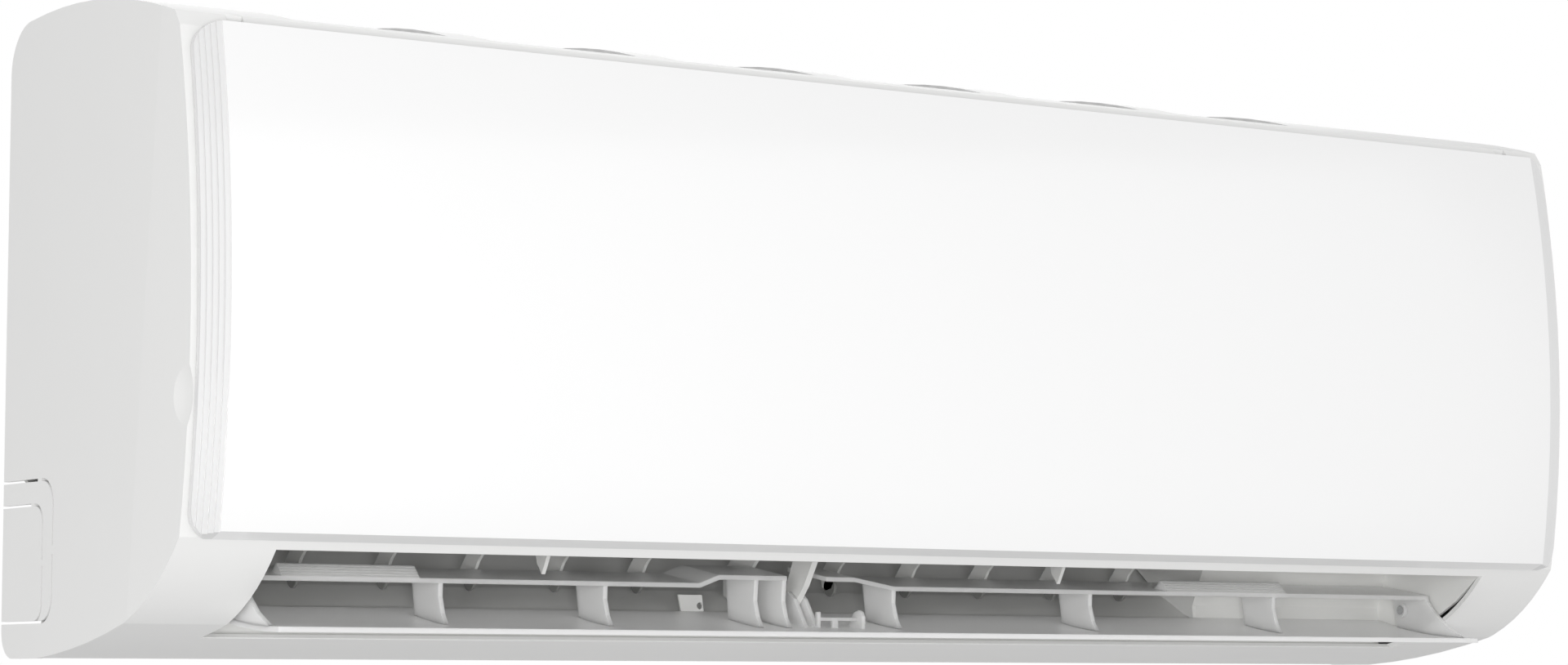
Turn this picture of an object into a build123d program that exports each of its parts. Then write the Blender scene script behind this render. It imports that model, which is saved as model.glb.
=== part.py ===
from build123d import *
import os
from math import cos, exp, hypot, radians, sin, sqrt

# Indoor unit of a split air conditioner, millimetres.
# X runs along the unit (right as seen from the room), +Y points into the wall, +Z up.
# The origin lies on the wall, behind the middle of the mounting plate.

# ---- casing and panel ----
unit_width = 845.0
panel_reach = 207.0         # wall to the foremost line of the panel
half = unit_width / 2
front_y = -panel_reach      # everything near the panel is placed from this line
crease_width = 2.5          # the side crease stands out from the rear edge by this much
case_top = 152.0
case_bottom = -150.5
wall_gap = 2.0              # casing's rear edge to the wall
wall = 2.5                  # moulded walls
crown_drop = 16.5           # the crown falls by this much towards the room
crown_front = front_y + 25.5
crown_chamfer = 7.0
panel_lap = 5.0             # the crown's front edge stands above the panel's top by this much
panel_bow = 640.0           # the panel's front is an arc of this radius about an X axis
panel_bow_z = 5.0           # height of its foremost line
panel_depth = 8.0
panel_skin = 3.0
panel_gap = 0.5             # panel's back to the casing
panel_inset = 5.0           # casing crease to panel end, each side
panel_foot = -96.0
strip_width = 2.5           # one step of the ribbed end strips
strip_steps = 4
strip_rise = 1.0
panel_corner = 14.0
lip_z = -98.5               # lower end of the casing's front face
clearance = 0.3             # faces of different pieces that must not touch
bite = 0.5                  # ribs start inside the wall that they grow from

# ---- fan and duct ----
back_y = -12.0              # front face of the chassis' rear wall
fan_behind = 14.5           # fan axis behind the middle between panel and rear wall
fan_y = (front_y + back_y) / 2 + fan_behind
fan_z = -24.0
fan_radius = 48.0
fan_segments = 6
fan_blades = 24
blade_depth = 11.0
blade_wall = 1.2
blade_camber = 2.2
disc_wall = 2.0
shaft_radius = 4.0
running_fit = 0.05          # radial clearance of a shaft in its bore
duct_left = 70.5 - half     # inner faces of the fan's end walls
duct_right = half - 188.5
fan_length = duct_right - duct_left - 20
scroll_gap = 7.0            # rear wall to fan where the spiral begins
scroll_growth = 0.229       # the spiral's radius grows by this share per radian
scroll_start = 50.0         # its first and last angles, from +Y towards +Z
scroll_end = -80.0
tongue_gap = 6.0
tongue_angle = 216.0
duct_wall = 2.0

# ---- louvre ----
louvre_y = front_y + 78.8
louvre_z = -120.7
louvre_inset = 54.0         # casing end to louvre end
louvre_half = half - louvre_inset
outlet_half = louvre_half + 2.5
flap_front = (front_y + 22, -139.5)
flap_rear = (front_y + 101, -128.5)
flap_sag = 2.5
flap_wall = 2.5
deck_front = (front_y + 60, -115.5)
deck_rear = (front_y + 94.5, -109.6)
deck_wall = 2.2
deck_raise = 4.2            # the deck steps up by this much around the centre arm
louvre_web = 2.4
centre_x = -51.5            # middle of the fixed centre arm
arm_wall = 3.4
arm_gap = 8.0
pin_radius = 1.6
louvre_swing = 25.0         # fixed pieces stay outside this radius about the louvre's axis
left_span = louvre_half + centre_x
right_span = louvre_half - centre_x
left_webs = (centre_x - 0.67 * left_span, centre_x - 0.383 * left_span)
raised_webs = (centre_x - 34, centre_x - 2 * arm_gap - louvre_web / 2)
right_webs = (centre_x + 50.5, centre_x + 0.424 * right_span, centre_x + 0.728 * right_span)
grip_places = ((-louvre_half + 21.5, -louvre_half + 93.5), (louvre_half - 189.5, louvre_half - 105.5))
grip_rise = 5.2             # ribbed grips on the deck's front edge
grip_run = 7.0
grip_ridges = 5

# ---- vertical deflectors ----
deflector_count = 5
deflector_spans = ((duct_left + 36, centre_x - 72.5), (centre_x + 45.5, duct_right - 48))
deflector_wall = 1.6
deflector_foot = (front_y + 59, -71.0)      # where the pivot line meets the duct's roof
deflector_lean = -55.6              # direction of the pivot line, from +Y towards +Z
deflector_pin = 1.6
link_arm = 14.0                     # pivot line to link pin
link_drop = 7.0                     # roof to link bar, along the pivot line
link_wall = 1.6
link_width = 4.0
link_pin = 1.0

# ---- heat exchanger ----
coil_left = duct_left + 7
coil_right = duct_right - 8
coil_depth = 25.0
coil_plate = 1.2
tube_radius = 3.5
tube_pitch = 21.0

# ---- mounting plate ----
plate_wall = 1.2
plate_half = 300.0
plate_top = 126.0
plate_foot = -112.0
plate_hole_radius = 3.0
plate_hole_x = 450.0
plate_hole_z = 170.0

side_rear = half - crease_width
panel_half = half - panel_inset
face_half = panel_half - strip_width * (strip_steps + 1)
case_inset = panel_depth + panel_gap
screw_places = (duct_left + 22, centre_x - 8.5, duct_right - 19, half - 72.5)
screw_z = -84.0
screw_radius = 1.75
crown_front_z = case_top - crown_drop
panel_top = crown_front_z - panel_lap

os.makedirs("parts", exist_ok=True)


def save(builder, name):
    builder.part.label = name
    export_step(builder.part, f"parts/{name}.step")


def bow_y(z, inset=0.0):
    """Y of the panel's front arc, moved towards the wall by inset, at height z."""
    radius = panel_bow - inset
    return panel_bow - panel_reach - sqrt(radius**2 - (z - panel_bow_z) ** 2)


def bow_arc(z0, z1, inset=0.0):
    """Arc of the panel's front curve from height z0 to z1."""
    middle = (z0 + z1) / 2
    ThreePointArc((bow_y(z0, inset), z0), (bow_y(middle, inset), middle), (bow_y(z1, inset), z1))


def block(x0, x1, y0, y1, z0, z1, mode=Mode.ADD):
    """Box given by its two corners."""
    with Locations(((x0 + x1) / 2, (y0 + y1) / 2, (z0 + z1) / 2)):
        Box(x1 - x0, y1 - y0, z1 - z0, mode=mode)


def bar(x0, x1, y, z, radius, mode=Mode.ADD):
    """Round bar along X."""
    with Locations(Location(((x0 + x1) / 2, y, z), (0, 90, 0))):
        Cylinder(radius, x1 - x0, mode=mode)


def prism(face, x0, x1, mode=Mode.ADD):
    """Extrude a YZ section from x0 to x1."""
    extrude(face.moved(Location((x0, 0, 0))), amount=x1 - x0, dir=(1, 0, 0), mode=mode)


def outline(*points):
    """Straight-sided YZ section."""
    with BuildSketch(Plane.YZ) as face:
        with BuildLine():
            Polyline(*points, close=True)
        make_face()
    return face.sketch


def strip(thickness, *points):
    """YZ section of a wall along straight runs, thickened to the left of its direction."""
    with BuildSketch(Plane.YZ) as face:
        with BuildLine():
            Polyline(*points)
            offset(amount=thickness, side=Side.LEFT)
        make_face()
    return face.sketch


def along(start, end, distance, lift=0.0):
    """Point on the YZ line from start to end, raised square to it by lift."""
    length = hypot(end[0] - start[0], end[1] - start[1])
    uy, uz = (end[0] - start[0]) / length, (end[1] - start[1]) / length
    return (start[0] + uy * distance - uz * lift, start[1] + uz * distance + uy * lift)


def around(y, z, radius, angle):
    """Point at an angle about a YZ centre, counted from +Y towards +Z."""
    return (y + radius * cos(radians(angle)), z + radius * sin(radians(angle)))


# ---- front casing ----
screw_y = bow_y(screw_z, case_inset)
cheek_middle = (front_y + 39, -119.9)
cheek_end = (front_y + 68.2, -135.6)
belly_end = (-42.0, case_bottom)
belly_middle = (cheek_end[0] + 0.443 * (belly_end[0] - cheek_end[0]), case_bottom + 6)
heel_radius = 13.0
shoulder_radius = 24.0
chamfer_foot = crown_front_z - crown_chamfer
heel_start = (-wall_gap - heel_radius, case_bottom)
shoulder_end = (-wall_gap - shoulder_radius, case_top)
crown_middle = (shoulder_end[0] + 0.5466 * (crown_front - shoulder_end[0]), case_top - 1.6)


def case_outline():
    """Side outline of the casing, drawn from the lower rear corner up and round the front."""
    heel_centre = (heel_start[0], case_bottom + heel_radius)
    shoulder_centre = (shoulder_end[0], case_top - shoulder_radius)
    Line(around(*heel_centre, heel_radius, 0), around(*shoulder_centre, shoulder_radius, 0))
    ThreePointArc(*(around(*shoulder_centre, shoulder_radius, angle) for angle in (0, 45, 90)))
    ThreePointArc(shoulder_end, crown_middle, (crown_front, crown_front_z))
    Line((crown_front, crown_front_z), (bow_y(chamfer_foot, case_inset), chamfer_foot))
    bow_arc(chamfer_foot, lip_z, case_inset)
    ThreePointArc((bow_y(lip_z, case_inset), lip_z), cheek_middle, cheek_end)
    ThreePointArc(cheek_end, belly_middle, belly_end)
    Line(belly_end, heel_start)
    ThreePointArc(*(around(*heel_centre, heel_radius, angle) for angle in (-90, -45, 0)))


with BuildSketch(Plane.YZ) as case_face:
    with BuildLine():
        case_outline()
    make_face()

with BuildSketch(Plane.YZ) as hollow_face:
    with BuildLine():
        case_outline()
    make_face()
    offset(amount=-wall, kind=Kind.INTERSECTION)
    with Locations((-wall_gap - wall / 2, (case_top + case_bottom) / 2)):
        Rectangle(4 * wall, case_top - case_bottom - 2 * shoulder_radius)

# Plan of the sides: rear edge, soft crease, taper to the panel. It leans forward with height.
crease_foot = front_y + 64
crease_lean = 0.0993
plan_z = case_bottom - 10
plan_rise = case_top - case_bottom + 20
crease_y = crease_foot + (case_bottom + 20 - plan_z) * crease_lean
plan_front = front_y - 40
window_left = duct_left - 14
window_right = duct_right + 6
window_foot = -74.0
window_top = 116.0
bay_count = 6
bay_gap = 24.0              # cross rib between two bays
grille_left = duct_left - 6
grille_right = duct_right + 12
bay_width = (grille_right - grille_left - bay_gap * (bay_count - 1)) / bay_count
bay_front = crown_front + 9.5
bay_rear = -40.0
bay_slots = 9
bay_bar = 3.6
bay_drop = 3.0              # the intake bars lie this far below the crown
bay_frame = 6.0             # depth of the ribs round the bays
hinge_y = front_y + 22.5
hinge_z = 127.5
hinge_x = half - 29.5
hinge_pin = 2.0
pocket_half = 4.3
knock_width = 1.3
wiring_left = half - 122.5
wiring_right = half - 32.5
wiring_foot = 10.0
wiring_top = 80.0
button_x = half - 160.5
button_radius = 4.0
dent_radius = 40.0          # finger dents in the sides, beside the panel
dent_depth = 2.0
dent_place = (front_y + 8, -37.0)


def crown_z(y, drop=0.0):
    """Height of the crown's arc at y."""
    y0, z0, y1, z1, y2, z2 = *shoulder_end, *crown_middle, crown_front, crown_front_z
    ax, az, bx, bz = y1 - y0, z1 - z0, y2 - y0, z2 - z0
    det = 2 * (ax * bz - az * bx)
    cy = y0 + (bz * (ax**2 + az**2) - az * (bx**2 + bz**2)) / det
    cz = z0 + (ax * (bx**2 + bz**2) - bx * (ax**2 + az**2)) / det
    radius = hypot(y0 - cy, z0 - cz) - drop
    return cz + sqrt(radius**2 - (y - cy) ** 2)


def crown_section(drop0, drop1, margin=0.0):
    """YZ section between two levels under the crown, over the bays and a margin round them."""
    places = [(1 - share) * (bay_front - margin) + share * (bay_rear + margin) for share in (0, 0.5, 1)]
    upper = [(y, crown_z(y, drop0)) for y in places]
    lower = [(y, crown_z(y, drop1)) for y in reversed(places)]
    with BuildSketch(Plane.YZ) as face:
        with BuildLine():
            ThreePointArc(*upper)
            Line(upper[2], lower[0])
            ThreePointArc(*lower)
            Line(lower[2], upper[0])
        make_face()
    return face.sketch


def knock_out(front, top, foot, corner, bridge):
    """Break-out line on the left side: a groove with thin bridges left standing."""
    with BuildSketch(Plane.YZ.offset(-half - 1)) as groove:
        with BuildLine():
            FilletPolyline((0, top), (front, top), (front, foot), (0, foot), radius=corner)
            offset(amount=knock_width, side=Side.RIGHT)
        make_face()
        with Locations((front + corner + bridge, top), (front, (top + foot) / 2)):
            Rectangle(bridge, bridge, mode=Mode.SUBTRACT)
    return groove.sketch


with BuildPart() as front_casing:
    prism(case_face.sketch, -half, half)
    with BuildSketch(Plane.XY.offset(plan_z)):
        with BuildLine():
            Polyline((-side_rear, 30), (-half, crease_y), (-panel_half, plan_front))
            Line((-panel_half, plan_front), (panel_half, plan_front))
            Polyline((panel_half, plan_front), (half, crease_y), (side_rear, 30))
            Line((side_rear, 30), (-side_rear, 30))
        make_face()
    extrude(amount=plan_rise, dir=(0, -crease_lean, 1), mode=Mode.INTERSECT)
    prism(hollow_face.sketch, -side_rear + wall, side_rear - wall, Mode.SUBTRACT)
    # the belly stops where the chassis takes over
    block(-side_rear + wall, side_rear - wall, belly_end[0] - 2, 1, case_bottom - 1, -120, Mode.SUBTRACT)
    # window for filters and heat exchanger
    block(window_left, window_right, front_y, crown_front + 4, window_foot, window_top, Mode.SUBTRACT)
    # air intake: bays of bars, sunk between cross ribs that keep the crown's height
    prism(crown_section(0, bay_frame, 3.0), grille_left - 4, grille_right + 4)
    slot_pitch = (bay_rear - bay_front) / bay_slots
    for bay in range(bay_count):
        left = grille_left + bay * (bay_width + bay_gap)
        right = left + bay_width
        prism(crown_section(-bay_frame, bay_drop), left, right, Mode.SUBTRACT)
        prism(crown_section(bay_drop + wall, 2 * bay_frame), left, right, Mode.SUBTRACT)
        for row in range(bay_slots):
            y0 = bay_front + row * slot_pitch
            block(left, right, y0, y0 + slot_pitch - bay_bar, crown_front_z - 15, case_top + 5, Mode.SUBTRACT)
    # outlet
    outlet_top = (bow_y(lip_z - 4.5, case_inset), lip_z - 4.5)
    outlet_foot = (front_y + 94.5, -141.0)
    prism(
        outline(
            (front_y, outlet_top[1]),
            (front_y + 57, outlet_top[1]),
            (front_y + 107, -100),
            (outlet_foot[0] + 6, outlet_foot[1] + 4.5),
            outlet_foot,
            (outlet_foot[0] - 4, case_bottom),
            (front_y, case_bottom),
        ),
        -outlet_half,
        outlet_half,
        Mode.SUBTRACT,
    )
    # pockets and sockets for the panel's hinge arms
    for side in (-1, 1):
        x = side * hinge_x
        block(x - pocket_half, x + pocket_half, front_y, crown_front + 6, hinge_z - 15.5, case_top, Mode.SUBTRACT)
        socket_x = x + side * (pocket_half + 3)
        block(socket_x - 3, socket_x + 3, hinge_y - 1.5, hinge_y + 8.5, hinge_z - 8.5, crown_front_z - 5)
        bar(x - 12, x + 12, hinge_y, hinge_z, hinge_pin + running_fit, Mode.SUBTRACT)
    # screw holes, wiring opening, button hole
    for x in screw_places:
        with Locations(Location((x, screw_y, screw_z), (-90, 0, 0))):
            Cylinder(screw_radius + clearance, 12, mode=Mode.SUBTRACT)
    block(wiring_left + 6, wiring_right - 6, front_y, front_y + 22, wiring_foot + 6, wiring_top - 6, Mode.SUBTRACT)
    with Locations(Location((button_x, screw_y, screw_z), (-90, 0, 0))):
        Cylinder(button_radius + running_fit, 12, mode=Mode.SUBTRACT)
    # break-outs for the pipes in the left side
    for front, top, foot, corner, bridge in ((-59.0, -68.0, -133.0, 11.0, 4.0), (-47.5, -79.5, -133.0, 8.0, 3.0)):
        extrude(knock_out(front, top, foot, corner, bridge), amount=3 * wall, mode=Mode.SUBTRACT)
    for side in (-1, 1):
        with Locations((side * (half - crease_width + dent_radius - dent_depth), *dent_place)):
            Sphere(dent_radius, mode=Mode.SUBTRACT)
save(front_casing, "front_casing")

# ---- rear chassis: back wall, pipe channel, fan scroll, rear drip tray, motor seat ----
back_top = 138.0
chassis_half = side_rear - wall - clearance
floor_end = (front_y + 104, -128.0)
channel_points = ((back_y, -60.0), (-24.0, -68.0), (-32.0, -84.0), (-38.0, -104.0), (-42.0, -130.0))
belly_step = (front_y + 104, -140.4)
motor_radius = 42.0
motor_left = duct_right + 13
motor_length = 62.0
seat_front = fan_y + 20
seat_left = motor_left + 9
seat_right = motor_left + motor_length - 9
pipe_gas_x = duct_right + 7.5
bearing_radius = 14.0
hook_y = -4.5
hook_z = 114.0
hook_places = (-0.7 * plate_half, 0.7 * plate_half)
test_pad = ((-51.5, -117.8), (-37.5, -117.8), (-36.0, -129.0), (-49.2, -129.0))
test_pad_rise = 0.6
test_hole = (-38.8, -123.2)
test_hole_radius = 1.7


def scroll_point(angle, extra=0.0):
    """Point of the scroll's logarithmic spiral, moved outwards by extra."""
    radius = (fan_radius + scroll_gap) * exp(scroll_growth * radians(scroll_start - angle))
    return around(fan_y, fan_z, radius + extra, angle)


with BuildSketch(Plane.YZ) as scroll_face:
    with BuildLine():
        turns = [scroll_start + (scroll_end - scroll_start) * step / 4 for step in range(5)]
        inner = [scroll_point(angle) for angle in turns]
        outer = [scroll_point(angle, duct_wall) for angle in turns]
        ThreePointArc(*inner[:3])
        ThreePointArc(*inner[2:])
        Line(inner[4], floor_end)
        Line(floor_end, (floor_end[0] + 1, floor_end[1] - duct_wall))
        Line((floor_end[0] + 1, floor_end[1] - duct_wall), outer[4])
        ThreePointArc(*reversed(outer[2:]))
        ThreePointArc(*reversed(outer[:3]))
        Line(outer[0], inner[0])
    make_face()

tongue = around(fan_y, fan_z, fan_radius + tongue_gap, tongue_angle)

with BuildPart() as rear_chassis:
    rear_path = ((back_y, back_top), *channel_points, (belly_end[0], case_bottom + 1.2 * wall))
    prism(strip(duct_wall, *rear_path), -chassis_half, chassis_half)
    belly_path = (floor_end, belly_step, (belly_end[0] + 1, case_bottom + 1.2 * wall))
    prism(strip(duct_wall, *belly_path), -outlet_half, outlet_half)
    prism(scroll_face.sketch, duct_left - duct_wall, duct_right + duct_wall)
    # rear drip tray over the scroll
    tray_rear = (back_y + 1, inner[0][1] + 7)
    prism(
        strip(duct_wall, (inner[0][0] - 2, inner[0][1] + 14), inner[0], tray_rear),
        duct_left - duct_wall,
        duct_right + duct_wall,
    )
    # end walls of the fan room
    for x in (duct_left - duct_wall, duct_right):
        wall_points = (
            (back_y + 1, inner[0][1] + 6),
            (back_y + 1, channel_points[0][1]),
            (channel_points[2][0], channel_points[2][1] + 2),
            outer[3],
            outer[4],
            (floor_end[0], floor_end[1] + 1),
            (front_y + 105, -119.9),
            (front_y + 95, -98),
            (tongue[0] + 1.5, tongue[1] - 2.8),
            (tongue[0] + 4.7, tongue[1] + 3.7),
            (fan_y - 51, fan_z + 4),
            (fan_y - 37, inner[0][1] + 6),
        )
        prism(outline(*wall_points), x, x + duct_wall)
        bar(x - 1, x + duct_wall + 1, fan_y, fan_z, bearing_radius, Mode.SUBTRACT)
    # seat of the fan motor
    seat = outline(
        (seat_front, fan_z + motor_radius + 12),
        (back_y + 1, fan_z + motor_radius + 12),
        (back_y + 1, channel_points[0][1]),
        channel_points[1],
        (channel_points[1][0] - 4, fan_z - motor_radius - 12),
        (seat_front, fan_z - motor_radius - 12),
    )
    prism(seat, seat_left, seat_right)
    bar(seat_left - 1, seat_right + 1, fan_y, fan_z, motor_radius + clearance, Mode.SUBTRACT)
    # passage for the refrigerant pipes
    block(pipe_gas_x - 8, seat_left - 1, back_y - 20, back_y + 8, channel_points[2][1], channel_points[0][1] + 8,
          Mode.SUBTRACT)
    # hooks that hang on the mounting plate
    for x in hook_places:
        block(x - 20, x + 20, back_y + 1, hook_y, hook_z, hook_z + 3)
        block(x - 20, x + 20, hook_y - 2, hook_y, hook_z - 8, hook_z + 3)
    # test pad with its hole, under the end of the scroll
    with BuildSketch(Plane.XZ.offset(-floor_end[0] - bite)):
        Polygon(*((centre_x + x, z) for x, z in test_pad), align=None)
    extrude(amount=test_pad_rise + bite)
    with Locations(Location((centre_x + test_hole[0], floor_end[0], test_hole[1]), (90, 0, 0))):
        Cylinder(test_hole_radius, 8, mode=Mode.SUBTRACT)
save(rear_chassis, "rear_chassis")

# ---- outlet frame: duct roof, tongue, drip tray, end walls of the louvre bay ----
roof_front = (front_y + 23, -100.8)
roof_bend = (front_y + 57, -72.0)
tray_front = front_y + 16.5
tray_floor = -76.0
tray_lip = -64.0
bay_wall_left = -outlet_half - clearance
filler_path = (
    (floor_end[0] + 1.7, floor_end[1] + 1.0),
    (front_y + 106.7, -119.0),
    (front_y + 99, -97.0),
    (front_y + 71, -68.0),
    (front_y + 65, -61.0),
)
spout_place = (front_y + 29, -70.0)
spout_radius = 3.5
divider_wall = 2.0
deck_length = hypot(deck_rear[0] - deck_front[0], deck_rear[1] - deck_front[1])
deck_top = along(deck_front, deck_rear, deck_length, deck_wall)
deck_swing = hypot(deck_top[0] - louvre_y, deck_top[1] - louvre_z) + 2 * clearance

deflector_down = (cos(radians(deflector_lean)), sin(radians(deflector_lean)))
deflector_back = (-deflector_down[1], deflector_down[0])


def deflector_point(down, back):
    """YZ point at a distance down the deflectors' pivot line and behind it."""
    return (
        deflector_foot[0] + down * deflector_down[0] + back * deflector_back[0],
        deflector_foot[1] + down * deflector_down[1] + back * deflector_back[1],
    )


def pivot_rod(x, down0, down1, back, radius, mode=Mode.ADD):
    """Round rod parallel to the deflectors' pivot line."""
    start = deflector_point(down0, back)
    direction = (0, deflector_down[0], deflector_down[1])
    with BuildSketch(Plane(origin=(x, *start), x_dir=(1, 0, 0), z_dir=direction)) as disc:
        Circle(radius)
    extrude(disc.sketch, amount=down1 - down0, dir=direction, mode=mode)


def spread(first, last):
    """X places of one group of deflectors, evenly spaced."""
    return [first + (last - first) * index / (deflector_count - 1) for index in range(deflector_count)]


left_places, right_places = (spread(*span) for span in deflector_spans)

with BuildPart() as outlet_frame:
    roof = strip(duct_wall, roof_front, roof_bend, tongue)
    prism(roof, -outlet_half - duct_wall, outlet_half + duct_wall)
    tongue_points = (
        tongue,
        roof_bend,
        (roof_bend[0] - 4, roof_bend[1] + 7),
        (tongue[0] - 9.3, tongue[1] + 5.7),
        (tongue[0] - 5.8, tongue[1] + 5.7),
    )
    prism(outline(*tongue_points), duct_left, duct_right)
    tray_points = (
        (tray_front, tray_lip),
        (tray_front + 0.5, tray_floor),
        (tray_front + 25.5, tray_floor),
        (roof_bend[0] - 2, tray_lip),
    )
    prism(strip(duct_wall, *tray_points), duct_left, duct_right)
    for x in (duct_left, duct_right - duct_wall):
        prism(outline(*tray_points), x, x + duct_wall)
    # divider beside the centre arm, from the roof down to the scroll's floor
    divider_rear = inner[4][0] - 5
    divider = outline(
        along(roof_front, roof_bend, 31, bite),
        (roof_bend[0] + 2, roof_bend[1] + bite),
        (front_y + 79, -80),
        (front_y + 107, -93),
        (divider_rear, -105),
        along(floor_end, inner[4], 21.7, 0.4),
        along(floor_end, inner[4], 2.3, 0.4),
        (front_y + 107, -111.9),
        (front_y + 86, -101.5),
    )
    divider_x = centre_x - 10.5
    prism(divider, divider_x - divider_wall / 2, divider_x + divider_wall / 2)
    bar(divider_x - divider_wall, divider_x + divider_wall, louvre_y, louvre_z, louvre_swing, Mode.SUBTRACT)
    # guide fingers in front of the deflectors
    finger = outline(
        along(roof_front, roof_bend, 14, bite),
        (front_y + 55.5, -101.5),
        (front_y + 60.4, -110.2),
        (front_y + 61.6, -110.9),
        (front_y + 63.4, -109.6),
        (front_y + 66, -101),
        (front_y + 49, -92),
        along(roof_front, roof_bend, 28, bite),
    )
    for x in (left_places[2] + 12, right_places[2] + 15):
        prism(finger, x - divider_wall / 2, x + divider_wall / 2)
        bar(x - divider_wall, x + divider_wall, louvre_y, louvre_z, deck_swing, Mode.SUBTRACT)
    # walls between the fan room and the ends of the louvre bay
    filler = strip(duct_wall, *filler_path)
    prism(filler, bay_wall_left, duct_left - duct_wall)
    prism(filler, duct_right + duct_wall, -bay_wall_left)
    bay_wall = (
        roof_front,
        roof_bend,
        (front_y + 65, -61),
        (front_y + 109, -97),
        (front_y + 108, -120),
        (front_y + 102.5, -138.2),
        (front_y + 94, -137.2),
        (front_y + 68, -130.6),
        (front_y + 42, -116.4),
        (front_y + 24.6, -103.2),
    )
    for x in (bay_wall_left - duct_wall, -bay_wall_left):
        prism(outline(*bay_wall), x, x + duct_wall)
    bar(bay_wall_left - 9, bay_wall_left, louvre_y, louvre_z, 6.5)
    bar(bay_wall_left - 10, bay_wall_left + 1, louvre_y, louvre_z, 3 + running_fit, Mode.SUBTRACT)
    bar(-bay_wall_left - 1, -bay_wall_left + 3, louvre_y, louvre_z, 5, Mode.SUBTRACT)
    for x in (*left_places, *right_places):
        pivot_rod(x, -6, 3, 0, deflector_pin + running_fit, Mode.SUBTRACT)
    # bosses that take the casing's screws
    for x in screw_places:
        block(x - 5, x + 5, screw_y + wall + 3 * clearance, front_y + 39, screw_z - 5, screw_z + 5)
        with Locations(Location((x, screw_y, screw_z), (-90, 0, 0))):
            Cylinder(screw_radius, 40, mode=Mode.SUBTRACT)
    # drain spout at the left end of the tray
    bar(duct_left - 26, duct_left + 1, *spout_place, spout_radius + 2)
    bar(duct_left - 27, duct_left + 3, *spout_place, spout_radius, Mode.SUBTRACT)
save(outlet_frame, "outlet_frame")

# ---- centre arm of the louvre, hung from the duct's roof ----
with BuildPart() as centre_arm:
    arm_points = (
        (front_y + 49, -79.4),
        (front_y + 60.5, -69.3),
        (front_y + 68, -86.0),
        (louvre_y + 4.2, louvre_z + 3.2),
        (louvre_y + 1, louvre_z - 4.6),
        (louvre_y - 5, louvre_z - 2.0),
        (front_y + 65.5, -113.5),
        (front_y + 56, -98.5),
    )
    prism(outline(*arm_points), centre_x - arm_wall / 2, centre_x + arm_wall / 2)
    bar(centre_x - arm_wall / 2, centre_x + arm_wall / 2, louvre_y, louvre_z, 5)
    bar(centre_x - arm_wall, centre_x + arm_wall, louvre_y, louvre_z, pin_radius + running_fit, Mode.SUBTRACT)
save(centre_arm, "centre_arm")

# ---- louvre: lower flap and upper deck ----
cheek_gap = arm_wall / 2 + clearance
flap_length = hypot(flap_rear[0] - flap_front[0], flap_rear[1] - flap_front[1])
raise_left = (centre_x - 67.3, centre_x - 56.3)
raise_right = (centre_x + 25, centre_x + 50.4)
journal_radius = 3.0
drive_radius = 2.5


def flap_point(distance, lift=0.0):
    """Point of the flap's outer arc at a distance from its front edge, raised by lift."""
    share = distance / flap_length
    return along(flap_front, flap_rear, distance, lift - 4 * flap_sag * share * (1 - share))


def deck_point(distance, lift=0.0):
    """Point of the deck's underside at a distance from its front edge, raised by lift."""
    return along(deck_front, deck_rear, distance, lift)


with BuildSketch(Plane.YZ) as flap_face:
    with BuildLine():
        ThreePointArc(flap_point(0), flap_point(flap_length / 2), flap_point(flap_length))
        Line(flap_point(flap_length), flap_point(flap_length, flap_wall))
        ThreePointArc(
            flap_point(flap_length, flap_wall),
            flap_point(flap_length / 2, flap_wall),
            flap_point(1.0, flap_wall),
        )
        Line(flap_point(1.0, flap_wall), flap_point(0))
    make_face()

with BuildPart() as louvre_flap:
    prism(flap_face.sketch, -louvre_half, louvre_half)
    # cheeks on both sides of the centre arm, with their pin
    pivot_cheek = (
        flap_point(39, flap_wall - bite),
        (louvre_y - 8, louvre_z + 0.8),
        (louvre_y - 3, louvre_z + 4.4),
        (louvre_y + 3, louvre_z + 3.4),
        flap_point(66, flap_wall - bite),
    )
    for side in (-1, 1):
        x = centre_x + side * (cheek_gap + louvre_web / 2)
        prism(outline(*pivot_cheek), x - louvre_web / 2, x + louvre_web / 2)
    pin_half = cheek_gap + louvre_web
    bar(centre_x - pin_half, centre_x + pin_half, louvre_y, louvre_z, pin_radius)
    # catch beside the arm: a rail on two posts with a rounded ear
    rail_y, rail_z = flap_point(40, flap_wall + 4)
    rail_left, rail_right = centre_x + 3, centre_x + 29
    block(rail_left, rail_right, rail_y - 1, rail_y + 1, rail_z - 0.8, rail_z + 0.8)
    block(rail_left, rail_left + 1.8, rail_y - 1, rail_y + 1, rail_z - 5, rail_z + 3.6)
    block(rail_left + 9, rail_left + 12.5, rail_y - 1, rail_y + 1, rail_z - 5, rail_z)
    ear = outline(
        flap_point(34, flap_wall - bite),
        (rail_y - 5.5, rail_z + 1.5),
        (rail_y - 4, rail_z + 3.6),
        (rail_y - 2, rail_z + 4.6),
        (rail_y + 2, rail_z + 3.4),
        flap_point(46, flap_wall - bite),
    )
    prism(ear, rail_right - 2, rail_right)
save(louvre_flap, "louvre_flap")


def deck_section(lift):
    """Section of the deck, lifted where it arches over the centre."""
    return outline(
        deck_point(0, lift),
        deck_point(deck_length, lift),
        deck_point(deck_length, lift + deck_wall),
        deck_point(0.8, lift + deck_wall),
    )


def deck_slope(x0, lift0, x1, lift1):
    """Stretch of the deck that changes height between two places."""
    loft([deck_section(lift0).moved(Location((x0, 0, 0))), deck_section(lift1).moved(Location((x1, 0, 0)))])


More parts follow.
